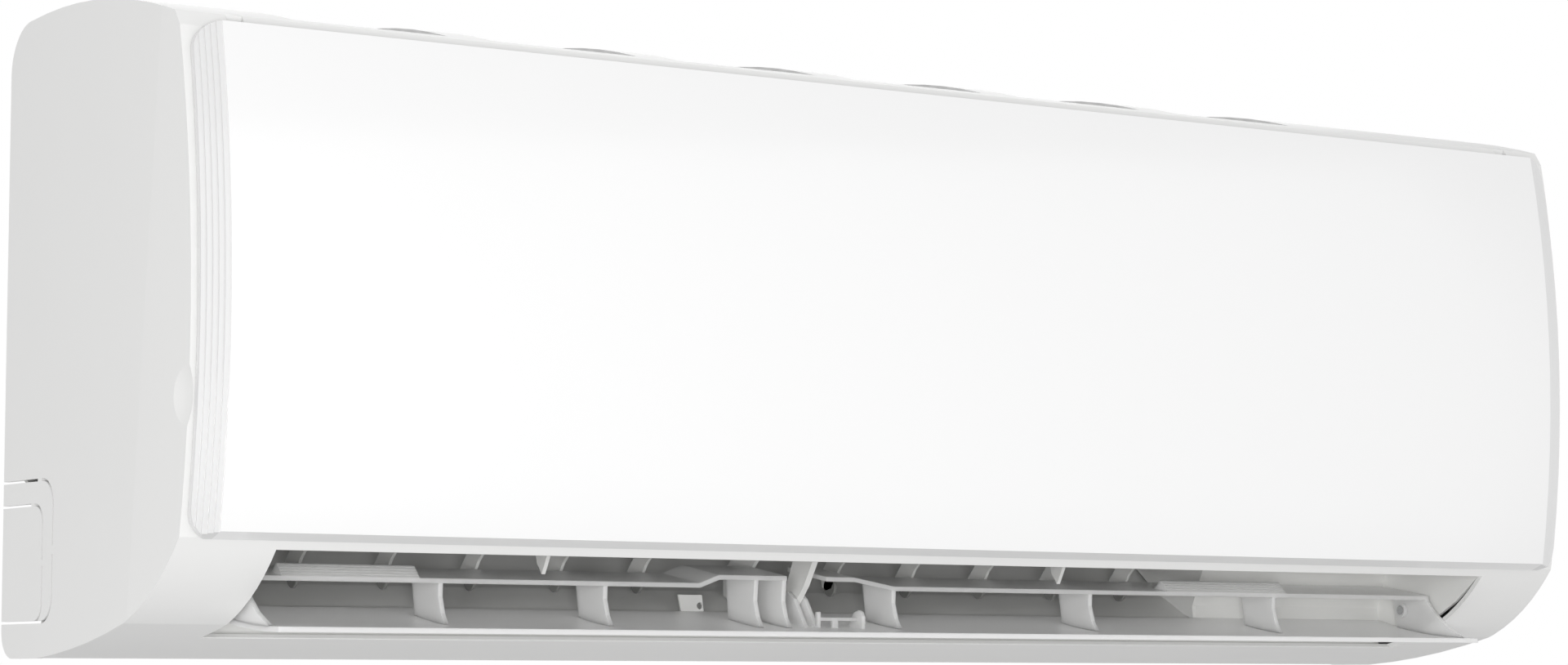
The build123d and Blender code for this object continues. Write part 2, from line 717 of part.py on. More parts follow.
def deck_web(x, lift=0.0):
    """Web between deck and flap, flared at its foot."""
    web = outline(
        deck_point(0.8, lift + bite),
        (deck_front[0] + 1, deck_front[1] - 6),
        (deck_front[0] - 1.5, deck_front[1] - 14),
        flap_point(33, flap_wall - bite),
        flap_point(62, flap_wall - bite),
        deck_point(deck_length - 8, lift + bite),
    )
    prism(web, x - louvre_web / 2, x + louvre_web / 2)


def deck_end(x):
    """End wall of the louvre, reaching further forward than the webs."""
    end = outline(
        deck_point(0.8, bite),
        (deck_front[0] - 4.5, deck_front[1] - 5.5),
        (deck_front[0] - 15.5, deck_front[1] - 14.7),
        flap_point(9, flap_wall - bite),
        flap_point(45, flap_wall - bite),
        flap_point(62, flap_wall - bite),
        deck_point(deck_length - 7, bite),
    )
    prism(end, x, x + louvre_web)


def ramp_point(share, lift=0.0):
    """Point on the slope of a grip, from the deck's front edge to its crest."""
    foot, crest = deck_point(1.0, deck_wall), deck_point(1.0 + grip_run, deck_wall + grip_rise)
    return along(foot, crest, share * hypot(grip_run, grip_rise), lift)


def deck_grip(x0, x1):
    """Wedge with fine ridges on the deck's front edge."""
    ridges = []
    for step in range(grip_ridges):
        near, far = step / grip_ridges, (step + 0.7) / grip_ridges
        ridges += [ramp_point(near), ramp_point(far), ramp_point(far, -0.4), ramp_point((step + 1) / grip_ridges, -0.4)]
    back = (deck_point(1.5 + grip_run, deck_wall + grip_rise - 0.6), deck_point(5 + grip_run, deck_wall - bite))
    prism(outline(deck_point(1.2, deck_wall - bite), *ridges, *back), x0, x1)


def clear_flap():
    """Trim the webs to the flap's upper face."""
    prism(flap_face.sketch, -half, half, Mode.SUBTRACT)


with BuildPart() as louvre_deck_left:
    prism(deck_section(0), -louvre_half, raise_left[0])
    deck_slope(raise_left[0], 0, raise_left[1], deck_raise)
    prism(deck_section(deck_raise), raise_left[1], centre_x - 2 * arm_gap)
    for x in left_webs:
        deck_web(x)
    for x in raised_webs:
        deck_web(x, deck_raise)
    deck_grip(*grip_places[0])
    deck_end(-louvre_half)
    bar(-louvre_half - 8, -louvre_half + louvre_web, louvre_y, louvre_z, journal_radius)
    clear_flap()
save(louvre_deck_left, "louvre_deck_left")

with BuildPart() as louvre_deck_right:
    prism(deck_section(deck_raise), centre_x + arm_gap, raise_right[0])
    deck_slope(raise_right[0], deck_raise, raise_right[1], 0)
    prism(deck_section(0), raise_right[1], louvre_half)
    for x in right_webs:
        deck_web(x)
    deck_grip(*grip_places[1])
    deck_end(louvre_half - louvre_web)
    bar(louvre_half - louvre_web - 2, louvre_half, louvre_y, louvre_z, drive_radius + 1.7)
    bar(louvre_half - louvre_web - 3, louvre_half + 1, louvre_y, louvre_z, drive_radius + running_fit, Mode.SUBTRACT)
    clear_flap()
save(louvre_deck_right, "louvre_deck_right")

# ---- louvre motor and its shaft ----
louvre_motor_x = -bay_wall_left + duct_wall + clearance
louvre_motor_radius = 12.0

with BuildPart() as louvre_motor:
    bar(louvre_motor_x, louvre_motor_x + 17, louvre_y, louvre_z, louvre_motor_radius)
    # ear for its screw
    ear_y, ear_z = louvre_y - 14, louvre_z + louvre_motor_radius + 3
    block(louvre_motor_x, louvre_motor_x + 1.2, ear_y, louvre_y, louvre_z, ear_z)
    bar(louvre_motor_x - 1, louvre_motor_x + 12, louvre_y, louvre_z, drive_radius + running_fit, Mode.SUBTRACT)
save(louvre_motor, "louvre_motor")

with BuildPart() as louvre_drive:
    bar(louvre_half - louvre_web - 2, louvre_motor_x + 10, louvre_y, louvre_z, drive_radius)
save(louvre_drive, "louvre_drive")

# ---- vertical deflectors and their links ----
blade_points = (
    (4.0, -8.0),
    (9.5, -10.0),
    (9.5, -17.0),
    (14.0, -17.0),
    (24.0, -12.0),
    (28.5, -2.0),
    (33.5, 6.0),
    (38.5, 11.0),
    (43.5, 14.0),
    (50.0, 16.0),
    (62.0, 16.0),
    (65.5, 19.0),
    (66.0, 23.0),
    (62.0, 28.0),
    (40.0, 25.0),
    (20.0, 19.0),
    (4.0, 13.0),
)


def deflector(name, x):
    """One deflector blade with its pivot pin and its ear for the link."""
    with BuildPart() as blade:
        section = outline(*(deflector_point(*point) for point in blade_points))
        prism(section, x - deflector_wall / 2, x + deflector_wall / 2)
        pivot_rod(x, -4, 9, 0, deflector_pin)
        pivot_rod(x, 9.5, 14, -link_arm, link_pin + 1.4)
        pivot_rod(x, 9, 15, -link_arm, link_pin + running_fit, Mode.SUBTRACT)
    save(blade, name)


def link(name, places):
    """Bar with one pin for each deflector of a group."""
    with BuildPart() as bar_part:
        section = outline(
            deflector_point(link_drop, -link_arm - link_width / 2),
            deflector_point(link_drop, -link_arm + link_width / 2),
            deflector_point(link_drop + link_wall, -link_arm + link_width / 2),
            deflector_point(link_drop + link_wall, -link_arm - link_width / 2),
        )
        prism(section, places[0] - 5, places[-1] + 5)
        for x in places:
            pivot_rod(x, link_drop + 1, 14.5, -link_arm, link_pin)
        # grip for moving the group by hand
        middle = len(places) // 2
        grip_x = (places[middle] + places[middle + 1]) / 2
        grip = outline(
            deflector_point(link_drop + 1, -link_arm - link_width / 2),
            deflector_point(link_drop + 1, -link_arm + link_width / 2),
            deflector_point(link_drop + 12, -link_arm - 1),
            deflector_point(link_drop + 12, -link_arm - 3),
        )
        prism(grip, grip_x - 4, grip_x + 4)
    save(bar_part, name)


for index, x in enumerate((*left_places, *right_places)):
    deflector(f"deflector_{index + 1}", x)
link("link_left", left_places)
link("link_right", right_places)

# ---- cross-flow fan, shafts, bearing, motor ----
fan_left = duct_left + 9
fan_right = fan_left + fan_length
boss_radius = 9.0
stub_length = 17.0
motor_bore_depth = 46.0

with BuildSketch(Plane.YZ) as blade_ring:
    with Locations((fan_y, fan_z)):
        with PolarLocations(0, fan_blades):
            inner_edge, outer_edge = fan_radius - blade_depth, fan_radius - 0.3
            middle = (inner_edge + outer_edge) / 2
            Polygon(
                (inner_edge, -3.2),
                (middle, -3.2 + blade_camber),
                (outer_edge, 3.6),
                (outer_edge, 3.6 + blade_wall),
                (middle, -3.2 + blade_camber + blade_wall),
                (inner_edge, -3.2 + blade_wall),
                align=None,
            )

with BuildPart() as cross_flow_fan:
    prism(blade_ring.sketch, fan_left + disc_wall / 2, fan_right - disc_wall / 2)
    segment = (fan_length - disc_wall) / fan_segments
    for index in range(fan_segments + 1):
        x = fan_left + index * segment
        bar(x, x + disc_wall, fan_y, fan_z, fan_radius)
        if 0 < index < fan_segments:
            bar(x - 1, x + disc_wall + 1, fan_y, fan_z, fan_radius - blade_depth - 2, Mode.SUBTRACT)
    bar(fan_left, fan_left + 10, fan_y, fan_z, boss_radius)
    bar(fan_right - 18, fan_right + 12, fan_y, fan_z, boss_radius)
    bar(fan_left - 1, fan_left + 8, fan_y, fan_z, shaft_radius, Mode.SUBTRACT)
    bar(fan_right - 12, fan_right + 13, fan_y, fan_z, shaft_radius, Mode.SUBTRACT)
save(cross_flow_fan, "cross_flow_fan")

with BuildPart() as stub_shaft:
    bar(fan_left - stub_length, fan_left + 8, fan_y, fan_z, shaft_radius)
save(stub_shaft, "stub_shaft")

with BuildPart() as motor_shaft:
    bar(fan_right - 12, motor_left + motor_bore_depth - 2, fan_y, fan_z, shaft_radius)
save(motor_shaft, "motor_shaft")

with BuildPart() as fan_bearing:
    bar(duct_left - duct_wall - 3, duct_left + 3, fan_y, fan_z, bearing_radius - running_fit)
    bar(duct_left - duct_wall - 3, duct_left - duct_wall, fan_y, fan_z, bearing_radius + 3)
    bar(duct_left - duct_wall - 4, duct_left + 4, fan_y, fan_z, shaft_radius + running_fit, Mode.SUBTRACT)
save(fan_bearing, "fan_bearing")

with BuildPart() as fan_motor:
    bar(motor_left, motor_left + motor_length, fan_y, fan_z, motor_radius)
    chamfer(fan_motor.edges().filter_by(GeomType.CIRCLE), 5)
    bar(motor_left - 5, motor_left + motor_length + 5, fan_y, fan_z, 20)
    bar(motor_left - 6, motor_left + motor_bore_depth, fan_y, fan_z, shaft_radius + running_fit, Mode.SUBTRACT)
save(fan_motor, "fan_motor")

strap_width = 16.0
with BuildPart() as motor_clamp:
    strap_x = motor_left + (motor_length - strap_width) / 2
    bar(strap_x, strap_x + strap_width, fan_y, fan_z, motor_radius + clearance + 2.5)
    flange_z = motor_radius + 12
    block(strap_x, strap_x + strap_width, seat_front - 3, seat_front, fan_z - flange_z, fan_z + flange_z)
    block(strap_x - 1, strap_x + strap_width + 1, seat_front, 0, fan_z - 80, fan_z + 80, Mode.SUBTRACT)
    bar(strap_x - 1, strap_x + strap_width + 1, fan_y, fan_z, motor_radius + clearance, Mode.SUBTRACT)
save(motor_clamp, "motor_clamp")

# ---- heat exchanger ----
upper_end = (fan_y - 25.5, 112.5)
rear_start = (fan_y + 3, 116.0)
rear_end = (-47.0, 55.0)
coil_runs = {
    "coil_front_lower": ((front_y + 34.5, -65.0), (front_y + 34.5, 22.0)),
    "coil_front_upper": ((front_y + 36, 29.0), upper_end),
    "coil_rear": (rear_start, rear_end),
}


def coil_section(start, end, grow=0.0):
    """Rectangle of the coil's depth round the line from start to end."""
    length = hypot(end[0] - start[0], end[1] - start[1])
    side = coil_depth / 2 + grow
    return outline(
        along(start, end, -grow, side),
        along(start, end, length + grow, side),
        along(start, end, length + grow, -side),
        along(start, end, -grow, -side),
    )


def tube_rows(start, end):
    """Centres of the tubes in one slab, in two staggered rows."""
    length = hypot(end[0] - start[0], end[1] - start[1])
    count = int(length // tube_pitch)
    first = (length - (count - 0.5) * tube_pitch) / 2
    rows = []
    for index in range(count):
        front = along(start, end, first + index * tube_pitch, coil_depth / 4)
        rear = along(start, end, first + (index + 0.5) * tube_pitch, -coil_depth / 4)
        rows.append((front, rear))
    return rows


for name, (start, end) in coil_runs.items():
    with BuildPart() as slab:
        prism(coil_section(start, end), coil_left, coil_right)
    save(slab, name)

for name, x, side in (("coil_end_left", coil_left, -1), ("coil_end_right", coil_right, 1)):
    with BuildPart() as coil_end:
        x0, x1 = sorted((x, x + side * coil_plate))
        for start, end in coil_runs.values():
            prism(coil_section(start, end, 1.5), x0, x1)
        # bridges between the plates of the slabs
        prism(outline((front_y + 24, 19), (front_y + 47, 19), (front_y + 49, 34), (front_y + 25, 34)), x0, x1)
        bridge = (
            (upper_end[0] - 10.5, upper_end[1] - 6.5),
            (upper_end[0] + 10.5, upper_end[1] + 4.5),
            (rear_start[0] + 8, rear_start[1] + 8),
            (rear_start[0] + 8, rear_start[1] - 8),
            (upper_end[0] + 8.5, upper_end[1] - 8.5),
        )
        prism(outline(*bridge), x0, x1)
        # hairpin ends of the tubes
        for start, end in coil_runs.values():
            for front, rear in tube_rows(start, end):
                middle = ((front[0] + rear[0]) / 2, (front[1] + rear[1]) / 2)
                with BuildSketch(Plane(origin=(x, *front), x_dir=(0, 1, 0), z_dir=(side, 0, 0))) as ring:
                    Circle(tube_radius)
                square = (0, side * (front[1] - rear[1]), side * (rear[0] - front[0]))
                revolve(ring.sketch, axis=Axis((x, *middle), square), revolution_arc=180)
    save(coil_end, name)

# ---- refrigerant pipes with flare nuts, drain plug ----
gas_radius = 4.8
liquid_radius = 3.2
bend_radius = 10.0


def pipe(name, x, start, y, z, radius, end_x):
    """Pipe from the coil's end plate, down behind the fan motor and along the channel."""
    with BuildPart() as run:
        begin = (coil_right + coil_plate, *start)
        with BuildLine():
            points = (begin, (x, *start), (x, y, start[1]), (x, y, z), (end_x, y, z))
            FilletPolyline(*points, radius=bend_radius)
        with BuildSketch(Plane(origin=begin, z_dir=(1, 0, 0))):
            Circle(radius)
        sweep()
        # flare nut
        with BuildSketch(Plane(origin=(end_x + 20, y, z), z_dir=(-1, 0, 0))):
            RegularPolygon(radius + 4.4, 6, major_radius=False)
        extrude(amount=20)
    save(run, name)


pipe("gas_pipe", pipe_gas_x + 8.5, along(rear_start, rear_end, 70, coil_depth / 4), -25.0, -104.0, gas_radius, 60)
pipe("liquid_pipe", pipe_gas_x, along(rear_start, rear_end, 22, coil_depth / 4), -15.8, -124.0, liquid_radius, 110)

# ---- filters ----
filter_gap = 13.0           # panel's front arc to the filter's front
filter_wall = 3.0
filter_foot = tray_lip + clearance
filter_rib = 3.0
filter_split = (duct_left + duct_right) / 2 - 2
filter_points = (
    (bow_y(filter_foot, filter_gap), filter_foot),
    (bow_y(-20, filter_gap), -20),
    (bow_y(25, filter_gap), 25),
    (bow_y(65, filter_gap), 65),
    (bow_y(90, filter_gap), 90),
    (front_y + 29, 112.0),
    (front_y + 52, 125.0),
    (fan_y - 15, 134.0),
    (-62.0, 139.0),
)


def air_filter(name, x0, x1):
    """Frame with ribs both ways and a thin mesh sheet between them."""
    with BuildPart() as frame:
        full = strip(filter_wall, *reversed(filter_points))
        sheet = strip(0.6, *reversed(filter_points))
        prism(sheet, x0, x1)
        pitch = (x1 - x0 - filter_rib) / 6
        for index in range(7):
            prism(full, x0 + index * pitch, x0 + index * pitch + filter_rib)
        for index, (y, z) in enumerate(filter_points):
            before = filter_points[max(index - 1, 0)]
            after = filter_points[min(index + 1, len(filter_points) - 1)]
            length = hypot(after[0] - before[0], after[1] - before[1])
            ty, tz = (after[0] - before[0]) / length, (after[1] - before[1]) / length
            shift = 1.5 if index == 0 else -1.5 if index == len(filter_points) - 1 else 0
            cy, cz = y + ty * shift, z + tz * shift
            rib = outline(
                (cy - 1.5 * ty + 0.1 * tz, cz - 1.5 * tz - 0.1 * ty),
                (cy + 1.5 * ty + 0.1 * tz, cz + 1.5 * tz - 0.1 * ty),
                (cy + 1.5 * ty + 2.9 * tz, cz + 1.5 * tz - 2.9 * ty),
                (cy - 1.5 * ty + 2.9 * tz, cz - 1.5 * tz - 2.9 * ty),
            )
            prism(rib, x0, x1)
    save(frame, name)


air_filter("filter_left", duct_left - 6, filter_split - 3)
air_filter("filter_right", filter_split + 3, duct_right + 2)

# ---- control box, boards, terminal block, wiring cover ----
box_left, box_right = duct_right + 16, half - 14.5
box_front, box_rear = front_y + 21.5, front_y + 56
box_foot, box_top = -68.0, 104.0
box_wall = 2.0


def roof_top(y):
    """Height of the duct roof's upper face in its front part."""
    slope = (roof_bend[1] - roof_front[1]) / (roof_bend[0] - roof_front[0])
    return roof_front[1] + duct_wall * sqrt(1 + slope**2) + (y - roof_front[0]) * slope


with BuildPart() as control_box:
    block(box_left, box_right, box_front, box_rear, box_foot, box_top)
    block(box_left + box_wall, box_right - box_wall, box_front - 1, box_rear - box_wall, box_foot + box_wall,
          box_top - box_wall, Mode.SUBTRACT)
    foot_front, foot_rear = roof_front[0] + 8, roof_bend[0] - 5
    for x in (box_left + 8, box_left + 80):
        foot = outline(
            (foot_front, roof_top(foot_front) + running_fit),
            (foot_rear, roof_top(foot_rear) + running_fit),
            (foot_rear, box_foot + 1),
            (foot_front, box_foot + 1),
        )
        prism(foot, x, x + 12)
    for x, z in ((box_left + 12, 0), (box_right - 12, 0), (box_left + 12, 90), (box_right - 12, 90)):
        with Locations(Location((x, box_rear - box_wall + 0.5, z), (90, 0, 0))):
            Cylinder(3, 10.5, align=(Align.CENTER, Align.CENTER, Align.MIN))
save(control_box, "control_box")

board_y = box_rear - box_wall - 10
with BuildPart() as control_board:
    block(box_left + 5, box_right - 5, board_y - 1.6, board_y, box_foot + 60, box_top - 5)
    for along_x, z, width, height, depth in (
        (25, 70, 24, 20, 18),
        (60, 60, 16, 28, 20),
        (100, 72, 30, 24, 15),
        (135, 50, 22, 14, 12),
        (90, 25, 40, 16, 10),
        (40, 20, 20, 20, 16),
    ):
        x = box_left + along_x
        block(x - width / 2, x + width / 2, board_y - 1.6 - depth, board_y - 1, z - height / 2, z + height / 2)
save(control_board, "control_board")

with BuildPart() as terminal_block:
    terminal_left = box_left + 50
    block(terminal_left, terminal_left + 70, box_rear - box_wall - 18, box_rear - box_wall, -48, -22)
    for index in range(4):
        x = terminal_left + 9 + index * 17.3
        with Locations(Location((x, box_rear - box_wall - 18, -35), (90, 0, 0))):
            Cylinder(3.5, 9, mode=Mode.SUBTRACT)
save(terminal_block, "terminal_block")


def bow_plate(z0, z1, inset0, inset1):
    """YZ section of a plate that follows the panel's curve."""
    with BuildSketch(Plane.YZ) as face:
        with BuildLine():
            bow_arc(z0, z1, inset0)
            Line((bow_y(z1, inset0), z1), (bow_y(z1, inset1), z1))
            bow_arc(z1, z0, inset1)
            Line((bow_y(z0, inset1), z0), (bow_y(z0, inset0), z0))
        make_face()
    return face.sketch


with BuildPart() as wiring_cover:
    prism(bow_plate(wiring_foot, wiring_top, case_inset - 2.2, case_inset - 0.1), wiring_left, wiring_right)
save(wiring_cover, "wiring_cover")

with BuildPart() as receiver_board:
    receiver_x = wiring_right - 50
    prism(bow_plate(-68, -48, case_inset - 2.0, case_inset - 0.1), receiver_x - 50, receiver_x + 50)
    prism(bow_plate(-62, -54, case_inset - 4.2, case_inset - 1.5), receiver_x - 34, receiver_x - 22)
    for x in (receiver_x, receiver_x + 12, receiver_x + 24):
        prism(bow_plate(-60, -56, case_inset - 3.2, case_inset - 1.5), x - 2, x + 2)
save(receiver_board, "receiver_board")

# the button is sunk in its hole; its collar stays behind the casing's wall
button_front = screw_y + 0.6
collar_front = screw_y + wall + 1.2
with BuildPart() as aux_button:
    for radius, near, far in (
        (button_radius, button_front, screw_y + 9),
        (button_radius + 1.5, collar_front, collar_front + 1.5),
    ):
        with Locations(Location((button_x, near, screw_z), (-90, 0, 0))):
            Cylinder(radius, far - near, align=(Align.CENTER, Align.CENTER, Align.MIN))
save(aux_button, "aux_button")

for index, x in enumerate(screw_places):
    with BuildPart() as screw:
        with Locations(Location((x, screw_y - 0.6, screw_z), (90, 0, 0))):
            Cylinder(3.4, 2.0, align=(Align.CENTER, Align.CENTER, Align.MIN))
        with Locations(Location((x, screw_y - 0.7, screw_z), (-90, 0, 0))):
            Cylinder(screw_radius, 15, align=(Align.CENTER, Align.CENTER, Align.MIN))
    save(screw, f"casing_screw_{index + 1}")

# ---- front panel with ribbed ends and hinge arms ----
bevel_rise = 3.2
corner_foot = panel_foot - bevel_rise - 1.2     # foot line of the rounded corners
hinge_arm = 3.0


def panel_section(inset):
    """YZ section of the panel with its front moved back by inset, square at the foot."""
    foot = panel_foot - bevel_rise
    with BuildSketch(Plane.YZ) as face:
        with BuildLine():
            bow_arc(foot, panel_top, inset)
            Line((bow_y(panel_top, inset), panel_top), (bow_y(panel_top, 5.5), panel_top))
            Line((bow_y(panel_top, 5.5), panel_top), (bow_y(126, 5.5), 126))
            Line((bow_y(126, 5.5), 126), (bow_y(124, panel_depth), 124))
            bow_arc(124, foot, panel_depth)
            Line((bow_y(foot, panel_depth), foot), (bow_y(foot, inset), foot))
        make_face()
    return face.sketch


with BuildPart() as front_panel:
    for step in range(strip_steps + 2):
        reach = face_half + step * strip_width
        prism(panel_section(step * strip_rise), -reach, reach)
    # one bevel under the whole foot
    bevel_front = (bow_y(panel_foot), panel_foot)
    bevel_rear = (bow_y(panel_foot - bevel_rise, panel_depth), panel_foot - bevel_rise)
    bevel = (along(bevel_front, bevel_rear, -12), bevel_rear, (bevel_rear[0], -110), (front_y - 8, -110))
    prism(outline(*bevel), -half, half, Mode.SUBTRACT)
    with BuildSketch(Plane.XZ.offset(panel_reach - 25)):
        with Locations((0, (panel_top + corner_foot) / 2)):
            RectangleRounded(2 * panel_half, panel_top - corner_foot, panel_corner)
    extrude(amount=50, mode=Mode.INTERSECT)
    prism(bow_plate(panel_foot + 4, 119, panel_skin, panel_depth + 2), -face_half + 7, face_half - 7, Mode.SUBTRACT)
    for side in (-1, 1):
        x = side * hinge_x
        arm = outline(
            (bow_y(117, 4), 117),
            (bow_y(131, 4), 131),
            (hinge_y + 1, hinge_z + 2.6),
            (hinge_y + 3, hinge_z - 1),
            (hinge_y + 1, hinge_z - 3.4),
            (bow_y(119, panel_depth), 119),
        )
        prism(arm, x - hinge_arm / 2, x + hinge_arm / 2)
        x0, x1 = sorted((x, x + side * (pocket_half + 5)))
        bar(x0, x1, hinge_y, hinge_z, hinge_pin)
save(front_panel, "front_panel")

# ---- mounting plate ----
with BuildPart() as mounting_plate:
    block(-plate_half, plate_half, -plate_wall, 0, plate_foot, plate_top)
    with BuildSketch(Plane.XZ):
        for x in (-0.5, 0.5):
            for z in (-0.5, 0.5):
                with Locations((x * plate_hole_x, (plate_top + plate_foot) / 2 + z * plate_hole_z)):
                    Circle(plate_hole_radius)
        with Locations((0, (plate_top + plate_foot) / 2)):
            SlotOverall(180, 60)
        for x in (-130, 130):
            with Locations((x, -30)):
                SlotOverall(90, 30)
    extrude(amount=plate_wall * 2, both=True, mode=Mode.SUBTRACT)
    for x in hook_places:
        tab_front = hook_y - 2 - 1.5
        block(x - 17, x + 17, tab_front - plate_wall, -plate_wall / 2, hook_z - 14, hook_z - 14 + plate_wall)
        block(x - 17, x + 17, tab_front - plate_wall, tab_front, hook_z - 14, hook_z - clearance)
save(mounting_plate, "mounting_plate")

with BuildPart() as drain_plug:
    bar(duct_left - 30, duct_left - 26, *spout_place, spout_radius + 3)
    bar(duct_left - 27, duct_left - 14, *spout_place, spout_radius - running_fit)
save(drain_plug, "drain_plug")
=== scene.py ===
import bmesh
import bpy
import math
import numpy as np
from mathutils import Matrix, Vector


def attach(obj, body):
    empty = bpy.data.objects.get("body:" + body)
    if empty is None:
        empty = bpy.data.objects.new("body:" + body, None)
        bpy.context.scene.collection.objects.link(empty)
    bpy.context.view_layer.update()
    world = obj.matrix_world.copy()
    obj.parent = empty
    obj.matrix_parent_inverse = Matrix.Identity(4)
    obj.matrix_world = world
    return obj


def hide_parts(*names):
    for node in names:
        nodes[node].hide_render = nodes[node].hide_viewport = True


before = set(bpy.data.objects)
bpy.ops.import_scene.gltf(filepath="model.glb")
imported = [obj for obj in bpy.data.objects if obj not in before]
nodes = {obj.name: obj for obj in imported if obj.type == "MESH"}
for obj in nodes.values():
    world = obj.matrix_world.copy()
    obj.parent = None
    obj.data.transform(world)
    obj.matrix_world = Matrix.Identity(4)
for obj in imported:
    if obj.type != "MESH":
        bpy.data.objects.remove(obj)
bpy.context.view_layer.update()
scene = bpy.context.scene
scene.view_settings.view_transform = "Standard"
mm = 0.001
print("frame loaded:", len(nodes), "nodes")

cameraLook = {
    "place": (-1.20092, -1.77742, -0.16454),
    "yaw": 34.77,           # degrees, from +Y towards +X
    "pitch": 5.085,         # degrees above the horizon
    "lens": 91.875, "sensor": 36.0,
    "near": 0.05, "far": 60.0,
}


def makeCamera(look):
    data = bpy.data.cameras.new("viewCamera")
    data.lens, data.sensor_width, data.sensor_fit = look["lens"], look["sensor"], "HORIZONTAL"
    data.clip_start, data.clip_end = look["near"], look["far"]
    camera = bpy.data.objects.new("viewCamera", data)
    scene.collection.objects.link(camera)
    yaw, pitch = math.radians(look["yaw"]), math.radians(look["pitch"])
    level = math.cos(pitch)
    forward = Vector((math.sin(yaw) * level, math.cos(yaw) * level, math.sin(pitch)))
    right = Vector((math.cos(yaw), -math.sin(yaw), 0.0))
    turn = Matrix((right, right.cross(forward), -forward)).transposed().to_4x4()
    camera.matrix_world = Matrix.Translation(look["place"]) @ turn
    scene.camera = camera


makeCamera(cameraLook)
print("camera set")


# sRGB hex to linear red, green, blue and alpha
def linear(hexColour):
    parts = [int(hexColour[i:i + 2], 16) / 255 for i in (1, 3, 5)]
    return [v / 12.92 if v <= 0.04045 else ((v + 0.055) / 1.055) ** 2.4 for v in parts] + [1.0]


# one node: its properties, its socket values, and links from other sockets into it
def addNode(tree, kind, settings=None, inputs=None, links=None):
    node = tree.nodes.new(kind)
    for key, value in (settings or {}).items():
        setattr(node, key, value)
    for key, value in (inputs or {}).items():
        node.inputs[key].default_value = value
    for key, socket in (links or {}).items():
        tree.links.new(socket, node.inputs[key])
    return node


# a material whose even values stand on the shader's own sockets
def newMaterial(name, colour, roughness, sockets):
    material = bpy.data.materials.new(name)
    material.use_nodes = True
    shader = material.node_tree.nodes["Principled BSDF"]
    shader.inputs["Base Color"].default_value = linear(colour)
    shader.inputs["Roughness"].default_value = roughness
    for key, value in sockets.items():
        shader.inputs[key].default_value = value
    return material, material.node_tree, shader


# 1 where the distance along X from a middle is more than a reach, else 0
def beyond(tree, place, middle, reach):
    across = addNode(tree, "ShaderNodeSeparateXYZ", links={"Vector": place}).outputs["X"]
    offset = addNode(tree, "ShaderNodeMath", {"operation": "SUBTRACT"},
                     inputs={1: middle * mm}, links={0: across})
    away = addNode(tree, "ShaderNodeMath", {"operation": "ABSOLUTE"},
                   links={0: offset.outputs[0]})
    return addNode(tree, "ShaderNodeMath", {"operation": "GREATER_THAN"},
                   inputs={1: reach * mm}, links={0: away.outputs[0]}).outputs[0]


mouldLook = {
    "ior": 1.53,
    "bump": 0.5,
    "grainDetail": 2.0, "flowDetail": 3.0,
    "flowLow": 0.3, "flowHigh": 0.7,    # the part of the slow noise that moves the sheen
}


# Moulded plastic. Noise of the mould's grain gives the bump, and a slow noise, as wide as the
# flow of the melt, moves the roughness a little, so that the sheen isn't dead even. A plastic with
# a value for through lets light pass its thin walls, and one with an end colour takes it beyond
# that distance from the middle along X.
def moulded(name, look):
    sockets = {"IOR": look.get("ior", mouldLook["ior"])}
    if "through" in look:
        sockets["Subsurface Weight"] = look["through"]
        sockets["Subsurface Radius"] = (1.0, 1.0, 1.0)
        sockets["Subsurface Scale"] = look["throughDepth"] * mm
    material, tree, shader = newMaterial(name, look["colour"], look["rough"], sockets)
    place = addNode(tree, "ShaderNodeTexCoord").outputs["Object"]
    if "endColour" in look:
        tone = addNode(tree, "ShaderNodeMix", {"data_type": "RGBA"},
                       inputs={6: linear(look["colour"]), 7: linear(look["endColour"])},
                       links={0: beyond(tree, place, 0.0, look["endPlace"])})
        tree.links.new(tone.outputs[2], shader.inputs["Base Color"])
    grain = addNode(tree, "ShaderNodeTexNoise",
                    inputs={"Scale": 1 / (look["grain"] * mm), "Detail": mouldLook["grainDetail"]},
                    links={"Vector": place})
    bump = addNode(tree, "ShaderNodeBump",
                   inputs={"Strength": mouldLook["bump"], "Distance": look["depth"] * mm},
                   links={"Height": grain.outputs["Fac"]})
    flow = addNode(tree, "ShaderNodeTexNoise",
                   inputs={"Scale": 1 / (look["flow"] * mm), "Detail": mouldLook["flowDetail"]},
                   links={"Vector": place})
    sheen = addNode(tree, "ShaderNodeMapRange",
                    inputs={"From Min": mouldLook["flowLow"], "From Max": mouldLook["flowHigh"],
                            "To Min": look["rough"] - look["spread"],
                            "To Max": look["rough"] + look["spread"]},
                    links={"Value": flow.outputs["Fac"]})
    tree.links.new(bump.outputs["Normal"], shader.inputs["Normal"])
    tree.links.new(sheen.outputs["Result"], shader.inputs["Roughness"])
    return material


metalLook = {"detail": 3.0, "spread": 0.08, "bump": 0.3, "depth": 0.01}


